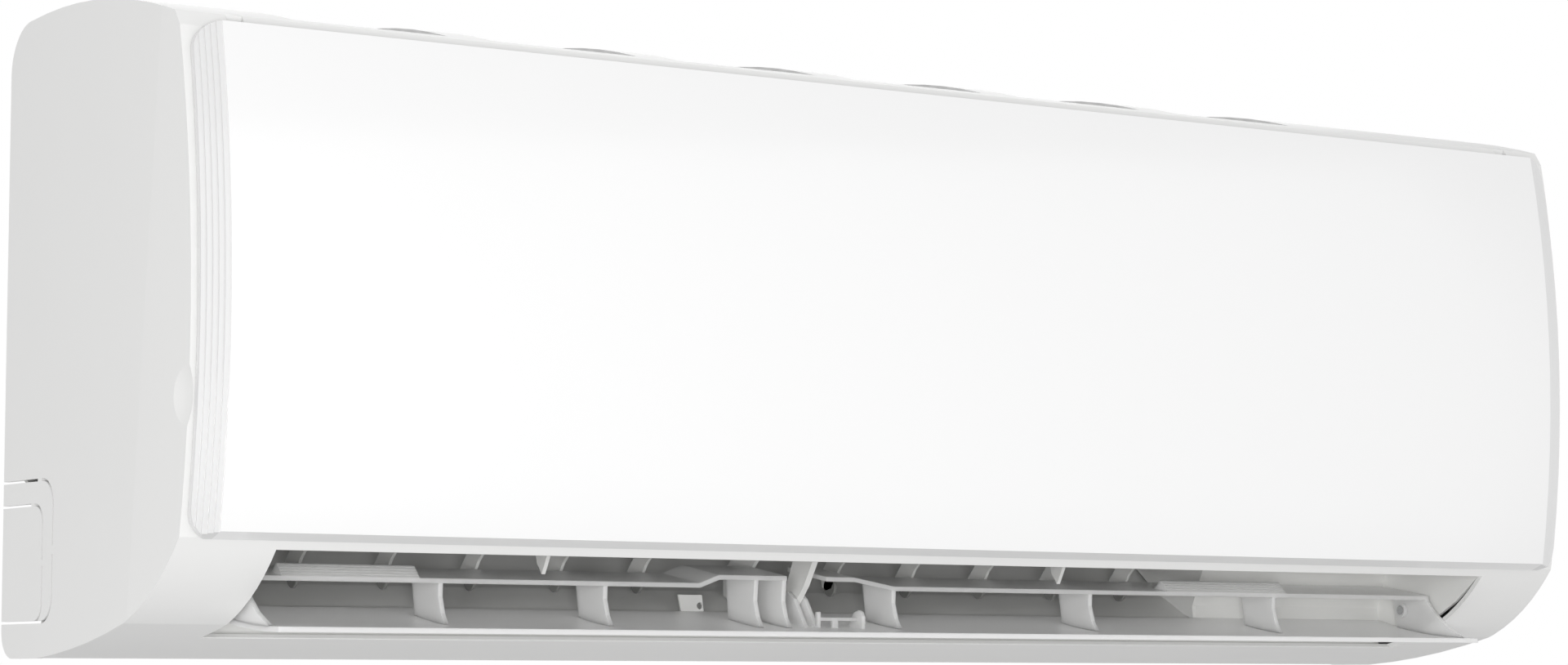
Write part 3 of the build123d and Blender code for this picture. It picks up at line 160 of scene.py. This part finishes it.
# Sheet or bar metal. Noise stretched along one axis is the mark of rolling, drawing or grinding.
def worked(name, look):
    material, tree, shader = newMaterial(name, look["colour"], look["rough"], {"Metallic": 1.0})
    place = addNode(tree, "ShaderNodeTexCoord").outputs["Object"]
    stretch = addNode(tree, "ShaderNodeMapping", inputs={"Scale": look["stretch"]},
                      links={"Vector": place})
    marks = addNode(tree, "ShaderNodeTexNoise",
                    inputs={"Scale": 1 / (look["marks"] * mm), "Detail": metalLook["detail"]},
                    links={"Vector": stretch.outputs["Vector"]})
    sheen = addNode(tree, "ShaderNodeMapRange",
                    inputs={"To Min": look["rough"] - metalLook["spread"],
                            "To Max": look["rough"] + metalLook["spread"]},
                    links={"Value": marks.outputs["Fac"]})
    bump = addNode(tree, "ShaderNodeBump",
                   inputs={"Strength": metalLook["bump"], "Distance": metalLook["depth"] * mm},
                   links={"Height": marks.outputs["Fac"]})
    tree.links.new(sheen.outputs["Result"], shader.inputs["Roughness"])
    tree.links.new(bump.outputs["Normal"], shader.inputs["Normal"])
    return material


# Hot-dip galvanised sheet: crystals about 8 mm across, each with its own grey and gloss.
def galvanised(name, look):
    material, tree, shader = newMaterial(name, look["colour"], look["rough"], {"Metallic": 1.0})
    place = addNode(tree, "ShaderNodeTexCoord").outputs["Object"]
    crystal = addNode(tree, "ShaderNodeTexVoronoi", inputs={"Scale": 1 / (look["crystal"] * mm)},
                      links={"Vector": place})
    tone = addNode(tree, "ShaderNodeSeparateColor", links={"Color": crystal.outputs["Color"]})
    grey = addNode(tree, "ShaderNodeMix", {"data_type": "RGBA"},
                   inputs={6: linear(look["dark"]), 7: linear(look["colour"])},
                   links={0: tone.outputs["Red"]})
    sheen = addNode(tree, "ShaderNodeMapRange",
                    inputs={"To Min": look["rough"] - look["spread"],
                            "To Max": look["rough"] + look["spread"]},
                    links={"Value": tone.outputs["Green"]})
    tree.links.new(grey.outputs[2], shader.inputs["Base Color"])
    tree.links.new(sheen.outputs["Result"], shader.inputs["Roughness"])
    return material, tree, shader, grey, place


# Grain, depth, flow and crystal sizes are in millimetres.
plastics = {
    # high-impact polystyrene from a spark-eroded mould: white, satin, with a fine grain
    "casing": {"name": "mouldedPolystyreneCasing", "colour": "#F1F1F0", "rough": 0.36,
               "grain": 0.7, "depth": 0.012, "flow": 60, "spread": 0.03},
    # acrylic-capped ABS from a polished mould: brighter, glossy, with a faint long wave, and a
    # shade greyer on the ribbed ends
    "panel": {"name": "polishedAbsPanel", "colour": "#F7F7F7", "rough": 0.14,
              "grain": 11, "depth": 0.004, "flow": 90, "spread": 0.02,
              "endColour": "#E6E6E6", "endPlace": 405.0},
    # unpolished polystyrene of the air passage: as white as the casing, but duller
    "duct": {"name": "mouldedPolystyreneDuct", "colour": "#F2F2F0", "rough": 0.48,
             "grain": 0.8, "depth": 0.015, "flow": 40, "spread": 0.04},
    # thin ABS louvre: clean white with a soft satin sheen, and some light glows through
    "louvre": {"name": "mouldedAbsLouvre", "colour": "#F6F6F5", "rough": 0.34,
               "grain": 0.7, "depth": 0.01, "flow": 50, "spread": 0.03,
               "through": 0.9, "throughDepth": 8.0},
    # polypropylene vanes: slightly waxy, so softer highlights
    "vane": {"name": "mouldedPolypropyleneVane", "colour": "#E8E8E6", "rough": 0.44,
             "grain": 0.6, "depth": 0.01, "flow": 25, "spread": 0.05, "ior": 1.49},
    # the vanes' feet: a mid grey that is painted shade, for the shadow they stand in under the
    # deck; close and slightly greasy in its sheen
    "foot": {"name": "paintedShadeVaneFoot", "colour": "#8A8A88", "rough": 0.38,
             "grain": 0.5, "depth": 0.006, "flow": 8, "spread": 0.04, "ior": 1.48},
    # glass-filled styrene of the fan: dark, with the dull speckle of short fibres
    "fan": {"name": "glassFilledStyreneFan", "colour": "#4A4B4D", "rough": 0.55,
            "grain": 1.1, "depth": 0.03, "flow": 12, "spread": 0.08},
    # ABS of the inner covers: plain white, matt
    "inner": {"name": "mouldedAbsCover", "colour": "#E6E6E4", "rough": 0.46,
              "grain": 0.8, "depth": 0.012, "flow": 40, "spread": 0.04},
    # nitrile rubber: nearly black, dull, slightly uneven
    "rubber": {"name": "mouldedNitrileRubber", "colour": "#1D1D1E", "rough": 0.72,
               "grain": 0.9, "depth": 0.03, "flow": 9, "spread": 0.06, "ior": 1.52},
    # phenolic terminal block: black, half matt
    "phenolic": {"name": "pressedPhenolicBlock", "colour": "#1F1F20", "rough": 0.4,
                 "grain": 0.5, "depth": 0.01, "flow": 10, "spread": 0.05, "ior": 1.6},
    # polypropylene filter frame and net: grey, soft sheen
    "net": {"name": "mouldedPolypropyleneNet", "colour": "#5C6066", "rough": 0.5,
            "grain": 0.4, "depth": 0.008, "flow": 20, "spread": 0.05, "ior": 1.49},
    # glass-epoxy board under green lacquer: even green, half gloss, a trace of weave
    "board": {"name": "lacqueredGlassEpoxyBoard", "colour": "#14562F", "rough": 0.34,
              "grain": 1.2, "depth": 0.01, "flow": 15, "spread": 0.05, "ior": 1.55},
}
metals = {
    # ground steel rod: rings round the bar, bright
    "shaft": {"name": "groundSteelShaft", "colour": "#B7B8BA", "rough": 0.26,
              "marks": 0.6, "stretch": (6, 1, 1)},
    # zinc-plated steel: pale, faintly blue, soft highlights
    "screw": {"name": "zincPlatedSteel", "colour": "#C7CACD", "rough": 0.3,
              "marks": 1.5, "stretch": (1, 1, 1)},
    # deep-drawn motor shell, zinc-plated: draw marks run along its axis
    "motor": {"name": "drawnZincPlatedShell", "colour": "#BFC2C4", "rough": 0.34,
              "marks": 1.2, "stretch": (0.15, 1, 1)},
    # soft-drawn copper tube: warm, with long faint marks
    "copper": {"name": "drawnCopperTube", "colour": "#C78A64", "rough": 0.3,
               "marks": 2.0, "stretch": (0.3, 1, 1)},
    # rolled aluminium fin stock with its thin lacquer: pale, streaked along the roll
    "fin": {"name": "lacqueredAluminiumFin", "colour": "#D3D7DA", "rough": 0.38,
            "marks": 1.6, "stretch": (1, 0.2, 0.2)},
}
sheet = {"name": "galvanisedSteelSheet", "colour": "#CDCFD1", "dark": "#B4B7BA", "rough": 0.42,
         "crystal": 8.0, "spread": 0.1}
finish = {key: moulded(look["name"], look) for key, look in plastics.items()}
finish.update({key: worked(look["name"], look) for key, look in metals.items()})
finish["sheet"] = galvanised(sheet["name"], sheet)[0]
coilEndLook = {"name": "galvanisedPlateCopperHairpin", "middle": -59.5, "reach": 286.8,
               "copper": "#C78A64"}


# Galvanised end plate of the coil with copper hairpins: past the plate's outer face, told by the
# distance from the coil's middle along X, the metal is copper.
def coilEnd(look):
    material, tree, shader, grey, place = galvanised(look["name"], sheet)
    mixed = addNode(tree, "ShaderNodeMix", {"data_type": "RGBA"},
                    inputs={7: linear(look["copper"])},
                    links={0: beyond(tree, place, look["middle"], look["reach"]),
                           6: grey.outputs[2]})
    tree.links.new(mixed.outputs[2], shader.inputs["Base Color"])
    return material


finish["coilEnd"] = coilEnd(coilEndLook)


# give CAD nodes one material
def dress(key, *names):
    for name in names:
        slots = nodes[name].data.materials
        slots.clear()
        slots.append(finish[key])


dress("casing", "front_casing", "aux_button")
dress("panel", "front_panel")
dress("duct", "rear_chassis", "outlet_frame", "centre_arm")
dress("louvre", "louvre_flap", "louvre_deck_left", "louvre_deck_right")
dress("vane", "link_left", "link_right", *[f"deflector_{i}" for i in range(1, 11)])
dress("fan", "cross_flow_fan")
dress("inner", "motor_clamp", "control_box", "wiring_cover")
dress("rubber", "fan_bearing", "drain_plug")
dress("phenolic", "terminal_block")
dress("net", "filter_left", "filter_right")
dress("board", "control_board", "receiver_board")
dress("shaft", "stub_shaft", "motor_shaft", "louvre_drive")
dress("screw", *[name for name in nodes if name.startswith("casing_screw")])
dress("sheet", "mounting_plate")
dress("coilEnd", "coil_end_left", "coil_end_right")
dress("motor", "fan_motor", "louvre_motor")
dress("copper", "gas_pipe", "liquid_pipe")
dress("fin", "coil_front_lower", "coil_front_upper", "coil_rear")
print("materials set:", len(finish))


# Points in millimetres and faces become one object at the origin. Points that meet, as at a pole,
# are merged and the faces turned outwards before it rides on its body.
def addPiece(name, points, faces, key, body, smooth=False):
    mesh = bpy.data.meshes.new(name)
    mesh.from_pydata((points.reshape(-1, 3) * mm).tolist(), [], faces.tolist())
    work = bmesh.new()
    work.from_mesh(mesh)
    bmesh.ops.remove_doubles(work, verts=work.verts, dist=1e-7)
    bmesh.ops.recalc_face_normals(work, faces=work.faces)
    work.to_mesh(mesh)
    work.free()
    mesh.polygons.foreach_set("use_smooth", np.full(len(mesh.polygons), smooth))
    mesh.materials.append(finish[key])
    piece = bpy.data.objects.new(name, mesh)
    scene.collection.objects.link(piece)
    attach(piece, body)
    return piece


# quads of a grid of rows by columns, joined to themselves round the columns if closed
def gridFaces(rows, columns, closed=False):
    row = np.arange(rows - 1)[:, None] * columns
    column = np.arange(columns if closed else columns - 1)[None, :]
    after = (column + 1) % columns
    return np.stack([row + column, row + after, row + columns + after, row + columns + column],
                    axis=-1).reshape(-1, 4)


# the same faces for each of many copies that have the same number of points
def repeatFaces(faces, copies, pointCount):
    return (faces[None] + (np.arange(copies) * pointCount)[:, None, None]).reshape(-1, 4)


coilLook = {
    "left": -345.0, "right": 226.0, "depth": 25.0,
    "pitch": 2.4,           # real fins stand 1.3 mm apart, drawn wider so that they show
    "wall": 0.3,
    "ripple": 0.45,         # the pressed waves across each fin
    "waves": 3,
    "columns": 13,
    "slabs": {              # the node, and the YZ ends of the slab's middle line
        "coilFinsLower": ("coil_front_lower", (-172.5, -65.0), (-172.5, 22.0)),
        "coilFinsUpper": ("coil_front_upper", (-171.0, 29.0), (-120.5, 112.5)),
        "coilFinsRear": ("coil_rear", (-92.0, 116.0), (-47.0, 55.0)),
    },
}


# Fin pack of one slab: each fin is a thin plate square to X, whose X is its place plus a sine of
# the distance across the slab. Every fin has two sheets, closed all round.
def finPack(name, node, start, end, look):
    columns = look["columns"]
    count = int((look["right"] - look["left"]) // look["pitch"])
    first = (look["left"] + look["right"] - (count - 1) * look["pitch"]) / 2
    place = first + np.arange(count) * look["pitch"]
    across = np.linspace(-1, 1, columns)
    wave = look["ripple"] * np.sin(look["waves"] * np.pi * across)
    run = np.subtract(end, start)
    length = np.hypot(*run)
    uy, uz = run / length
    side = np.array([-1, 1]) * look["wall"] / 2
    shape = (count, 2, 2, columns)      # fin, end of the slab, sheet, column
    x = np.broadcast_to(place[:, None, None, None] + side[None, None, :, None] + wave, shape)
    along = np.broadcast_to((np.array([0, 1]) * length)[None, :, None, None], shape)
    lift = np.broadcast_to(across * look["depth"] / 2, shape)
    y = start[0] + uy * along - uz * lift
    z = start[1] + uz * along + uy * lift
    ring = np.concatenate([np.arange(columns), columns + np.arange(columns)[::-1]])
    after = np.roll(ring, -1)
    wall = np.stack([ring, after, after + 2 * columns, ring + 2 * columns], axis=-1)
    step = np.arange(columns - 1)
    cap = np.stack([step, step + 1, step + 1 + columns, step + columns], axis=-1)
    faces = repeatFaces(np.concatenate([wall, cap, cap + 2 * columns]), count, 4 * columns)
    piece = addPiece(name, np.stack([x, y, z], axis=-1), faces, "fin", "housing")
    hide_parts(node)


for name, (node, start, end) in coilLook["slabs"].items():
    finPack(name, node, start, end, coilLook)
print("coil fins built")

tubeLook = {"radius": 3.5, "pitch": 21.0, "sides": 16, "inset": 0.6}


# Tubes of all slabs: circles about centres in two staggered rows along each slab, carried from
# end plate to end plate
def coilTubes(name, look, coil):
    pitch, sides = look["pitch"], look["sides"]
    centres = []
    for node, start, end in coil["slabs"].values():
        run = np.subtract(end, start)
        length = np.hypot(*run)
        unit, lift = run / length, np.array([-run[1], run[0]]) / length
        count = int(length // pitch)
        steps = (length - (count - 0.5) * pitch) / 2 + np.arange(count)[:, None] * pitch
        centres.append(start + steps * unit + lift * coil["depth"] / 4)
        centres.append(start + (steps + pitch / 2) * unit - lift * coil["depth"] / 4)
    centres = np.concatenate(centres)
    turn = np.arange(sides) * 2 * np.pi / sides
    circle = np.stack([np.cos(turn), np.sin(turn)], axis=-1) * look["radius"]
    yz = np.broadcast_to((centres[:, None] + circle)[:, None], (len(centres), 2, sides, 2))
    ends = np.array([coil["left"] + look["inset"], coil["right"] - look["inset"]])
    x = np.broadcast_to(ends[None, :, None, None], yz.shape[:3] + (1,))
    faces = repeatFaces(gridFaces(2, sides, True), len(centres), 2 * sides)
    piece = addPiece(name, np.concatenate([x, yz], axis=-1), faces, "copper", "housing",
                     smooth=True)


coilTubes("coilTubes", tubeLook, coilLook)
print("coil tubes built")

filterLook = {
    "frame": 3.0, "rib": 3.0, "ribsAcross": 7,
    "inset": 0.1,           # cross bars lie this far inside the bars that follow the path
    "strand": 0.45,
    "pitch": 1.8,           # real net holes are about 1 mm, drawn wider so that they show
    "netDepth": 1.2,        # the net lies this far behind the frame's front
    "netInset": 1.0,        # and its cross strands end this far inside the frame's sides
    "path": ((-190.2, -63.7), (-193.5, -20.0), (-193.7, 25.0), (-191.1, 65.0), (-188.2, 90.0),
             (-178.0, 112.0), (-155.0, 125.0), (-110.0, 134.0), (-62.0, 139.0)),
    "frames": {             # the node, its body, and the frame's left and right X
        "filterFrameLeft": ("filter_left", "filter_left_frame", -358.0, -64.0),
        "filterFrameRight": ("filter_right", "filter_right_frame", -58.0, 236.0),
    },
}


# distance along a path of YZ points to each of its points
def pathReach(path):
    return np.concatenate([[0], np.cumsum(np.hypot(*np.diff(path, axis=0).T))])


# points at given distances along a path, with the path's direction there
def alongPath(path, places):
    step, reach = np.diff(path, axis=0), pathReach(path)
    index = np.clip(np.searchsorted(reach, places, side="right") - 1, 0, len(step) - 1)
    unit = step[index] / np.hypot(*step[index].T)[:, None]
    return path[index] + unit * (places - reach[index])[:, None], unit


# Corner points of bars that follow a path: the path moved inwards along its mitred normals to a
# near and a far depth, at each bar's left and right X
def pathBars(path, lefts, rights, near, far):
    step = np.diff(path, axis=0)
    unit = step / np.hypot(*step.T)[:, None]
    square = np.stack([unit[:, 1], -unit[:, 0]], axis=-1)
    before, after = np.vstack([square[:1], square]), np.vstack([square, square[-1:]])
    mitre = (before + after) / (1 + (before * after).sum(axis=1))[:, None]
    inner, outer = path + mitre * near, path + mitre * far
    yz = np.stack([inner, inner, outer, outer], axis=1)
    x = np.stack([lefts, rights, rights, lefts], axis=-1)
    shape = (len(lefts), len(path), 4)
    return np.concatenate([np.broadcast_to(x[:, None, :, None], shape + (1,)),
                           np.broadcast_to(yz[None], shape + (2,))], axis=-1)


# Corner points of straight bars along X: a rectangle about each centre, turned to the path's
# direction
def crossBars(centres, units, x0, x1, width, near, far):
    square = np.stack([units[:, 1], -units[:, 0]], axis=-1)
    half = units * width / 2
    yz = np.stack([centres - half + square * near, centres + half + square * near,
                   centres + half + square * far, centres - half + square * far], axis=1)
    shape = (len(centres), 2, 4)
    x = np.array([x0, x1])
    return np.concatenate([np.broadcast_to(x[None, :, None, None], shape + (1,)),
                           np.broadcast_to(yz[:, None], shape + (2,))], axis=-1)


# faces of bars of four sides with both ends shut
def barFaces(bars, rows):
    caps = np.arange(4) + np.array([[0], [4 * (rows - 1)]])
    return repeatFaces(np.concatenate([gridFaces(rows, 4, True), caps]), bars, 4 * rows)


# groups of bars as one set of points and faces
def joinBars(*groups):
    faces, start = [], 0
    for bars in groups:
        faces.append(barFaces(*bars.shape[:2]) + start)
        start += bars[..., 0].size
    return np.concatenate([bars.reshape(-1, 3) for bars in groups]), np.concatenate(faces)


# Filter: ribs along the path and across it at each of its points, and between them a net of
# square strands both ways
def airFilter(name, node, body, x0, x1, look):
    path, rib, inset = np.array(look["path"]), look["rib"], look["inset"]
    count = look["ribsAcross"]
    lefts = x0 + np.arange(count) * (x1 - x0 - rib) / (count - 1)
    reach = pathReach(path)
    total = reach[-1]
    reach[0], reach[-1] = rib / 2, total - rib / 2
    ribs = joinBars(pathBars(path, lefts, lefts + rib, 0.0, look["frame"]),
                    crossBars(*alongPath(path, reach), x0 + inset, x1 - inset,
                              rib, inset, look["frame"] - inset))
    piece = addPiece(name, *ribs, "net", body)
    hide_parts(node)
    strand, depth, ends = look["strand"], look["netDepth"], look["netInset"]
    across = np.arange(x0 + rib, x1 - rib, look["pitch"])
    rows = alongPath(path, np.arange(rib, total - rib, look["pitch"]))
    net = joinBars(pathBars(path, across, across + strand, depth, depth + strand),
                   crossBars(*rows, x0 + ends, x1 - ends,
                             strand, depth + inset, depth + strand + inset))
    addPiece(name + "Net", *net, "net", body)


for name, (node, body, x0, x1) in filterLook["frames"].items():
    airFilter(name, node, body, x0, x1, filterLook)
print("filters built")

screwLook = {
    "places": (-330.0, -60.0, 215.0, 350.0), "y": -192.2, "z": -84.0,
    "head": 3.4, "headFront": -2.6, "dome": 0.8, "domeRows": 22,
    "rim": -0.6, "rimEdge": 0.4,
    "crossHalf": 0.55, "crossReach": 2.1, "crossDepth": 1.3, "crossSlope": 0.5,
    "crossSoft": 0.3,       # the slots' side walls lean in by this much
    "core": 1.3, "thread": 0.42, "lead": 1.5, "leadRows": 6,
    "end": 14.3, "tip": 2.5, "tipLeast": 0.12,
    "sides": 48,
}


# Cross-recessed screw as one surface of a row and a turn: the rows go over a domed head, down its
# rim, in under it, and along a shaft whose radius is a core plus a triangle wave of the distance
# along it less the turn, which is the thread. Two crossed slots with sloping walls sink the head.
def casingScrew(name, node, x, look):
    sides, head, rim, end = look["sides"], look["head"], look["rim"], look["end"]
    turn = np.arange(sides) * 2 * np.pi / sides
    domeR = np.linspace(0, head, look["domeRows"])
    domeY = look["headFront"] + look["dome"] * (domeR / head) ** 2
    shaftY = np.arange(rim, end, look["lead"] / look["leadRows"])
    taper = np.clip((end - shaftY) / look["tip"], look["tipLeast"], 1)
    rimR, rimY = [head, head, look["core"]], [rim - look["rimEdge"], rim, rim]
    rowR = np.concatenate([domeR, rimR, look["core"] * taper, [0]])
    rowY = np.concatenate([domeY, rimY, shaftY, [end]])
    radius = np.repeat(rowR[:, None], sides, axis=1)
    phase = (shaftY[:, None] / look["lead"] - turn[None] / (2 * np.pi)) % 1
    wave = 1 - np.abs(2 * phase - 1)
    radius[len(domeR) + len(rimR):-1] += look["thread"] * taper[:, None] * wave
    across, up = radius * np.cos(turn), radius * np.sin(turn)
    narrow = np.minimum(np.abs(across), np.abs(up))
    wide = np.maximum(np.abs(across), np.abs(up))
    soft = look["crossSoft"]
    sink = np.clip((look["crossHalf"] + soft / 2 - narrow) / soft, 0, 1)
    sink *= np.clip((look["crossReach"] - wide) / look["crossSlope"], 0, 1)
    sink[len(domeR):] = 0
    points = np.stack([x + across, look["y"] + rowY[:, None] + sink * look["crossDepth"],
                       look["z"] + up], axis=-1)
    piece = addPiece(name, points, gridFaces(len(rowR), sides, True), "screw", "housing",
                     smooth=True)
    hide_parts(node)


for index, x in enumerate(screwLook["places"]):
    casingScrew(f"crossScrew{index + 1}", f"casing_screw_{index + 1}", x, screwLook)
print("screws built")

footLook = {
    "places": (-316.0, -268.0, -220.0, -172.0, -124.0, -6.0, 42.0, 90.0, 138.0, 186.0),
    "y": -97.8, "z": -112.5,
    "radius": 5.0, "thick": 1.6, "edge": 0.3, "sides": 40,
}


# Rounded foot of a vane: a disc turned about X, with a small bevel on its rim, that carries the
# blade's lower end down under the deck's line
def vaneFoot(name, body, x, look):
    sides, half, edge = look["sides"], look["thick"] / 2, look["edge"]
    turn = np.arange(sides) * 2 * np.pi / sides
    rowX = np.array([-half, -half, edge - half, half - edge, half, half])
    rowR = np.array([0, look["radius"] - edge, look["radius"]])
    rowR = np.concatenate([rowR, rowR[::-1]])
    points = np.stack([np.broadcast_to(x + rowX[:, None], (len(rowX), sides)),
                       look["y"] + rowR[:, None] * np.cos(turn),
                       look["z"] + rowR[:, None] * np.sin(turn)], axis=-1)
    # the foot's mid grey finish is painted shade for the shadow it stands in under the deck
    piece = addPiece(name, points, gridFaces(len(rowX), sides, True), "foot", body)


for index, x in enumerate(footLook["places"]):
    vaneFoot(f"vaneFoot{index + 1}", f"vane_{index + 1}", x, footLook)
print("vane feet built")

pocketLook = {
    "middles": (-393.0, 393.0), "half": 4.2,
    "front": -181.3, "rear": -175.6, "foot": 131.0,
    "crown": (135.5, 137.2),    # the crown's height at the block's front and rear
}


# Stop block at the rear of a hinge pocket: a box whose top slopes with the crown, which closes the
# pocket's rear to the eye and leaves the arm its whole swing
def pocketBlock(name, middle, look):
    yz = np.array([(look["front"], look["foot"]), (look["rear"], look["foot"]),
                   (look["rear"], look["crown"][1]), (look["front"], look["crown"][0])])
    x = middle + np.array([-1, 1]) * look["half"]
    points = np.concatenate([np.broadcast_to(x[:, None, None], (2, 4, 1)),
                             np.broadcast_to(yz, (2, 4, 2))], axis=-1)
    addPiece(name, points, barFaces(1, 2), "casing", "housing")


for side, middle in zip(("Left", "Right"), pocketLook["middles"]):
    pocketBlock("pocketBlock" + side, middle, pocketLook)
print("pocket blocks built")

studio = {
    "floorZ": -2.20,        # the unit hangs this high above the floor
    "floorSize": 20.0,
    "floorColour": "#EDEDED", "floorRough": 0.8,
    "worldStrength": 0.53,
    "lamps": (
        # name, place, aimed at, size, watts
        ("frontLamp", (-1.35, -2.2, -0.35), (0.0, -0.15, -0.1), 0.5, 16.0),
        ("leftLamp", (-2.2, -2.0, -0.15), (0.0, -0.15, -0.1), 0.8, 15.0),
        ("rightLamp", (1.4, -2.4, 0.2), (0.0, -0.15, -0.05), 1.8, 9.0),
        ("topLamp", (0.2, -0.6, 2.8), (0.0, 0.0, 0.0), 2.6, 6.0),
        ("backLamp", (1.6, 2.8, 1.4), (0.0, 0.0, 0.0), 2.4, 12.0),
    ),
}


# Floor, lamps and world. The world is plain white to the camera and in reflections, and dimmer
# as a light.
def makeStudio(look):
    bpy.ops.mesh.primitive_plane_add(size=look["floorSize"], location=(0, 0, look["floorZ"]))
    floor = bpy.context.object
    floor.name = "studioFloor"
    paint = newMaterial("paintedStudioFloor", look["floorColour"], look["floorRough"], {})[0]
    floor.data.materials.append(paint)
    for name, place, target, size, watts in look["lamps"]:
        data = bpy.data.lights.new(name, "AREA")
        data.size, data.energy = size, watts
        lamp = bpy.data.objects.new(name, data)
        lamp.location = place
        aim = Vector(target) - Vector(place)
        lamp.rotation_euler = aim.to_track_quat("-Z", "Y").to_euler()
        scene.collection.objects.link(lamp)
    world = bpy.data.worlds.new("paleRoom")
    scene.world = world
    world.use_nodes = True
    tree = world.node_tree
    tree.nodes.clear()
    path = addNode(tree, "ShaderNodeLightPath")
    seen = addNode(tree, "ShaderNodeMath", {"operation": "MAXIMUM"},
                   links={0: path.outputs["Is Camera Ray"], 1: path.outputs["Is Glossy Ray"]})
    level = addNode(tree, "ShaderNodeMapRange",
                    inputs={"To Min": look["worldStrength"], "To Max": 1.0},
                    links={"Value": seen.outputs[0]})
    shade = addNode(tree, "ShaderNodeBackground", inputs={"Color": (1, 1, 1, 1)},
                    links={"Strength": level.outputs["Result"]})
    addNode(tree, "ShaderNodeOutputWorld", links={"Surface": shade.outputs["Background"]})


makeStudio(studio)
print("studio set")
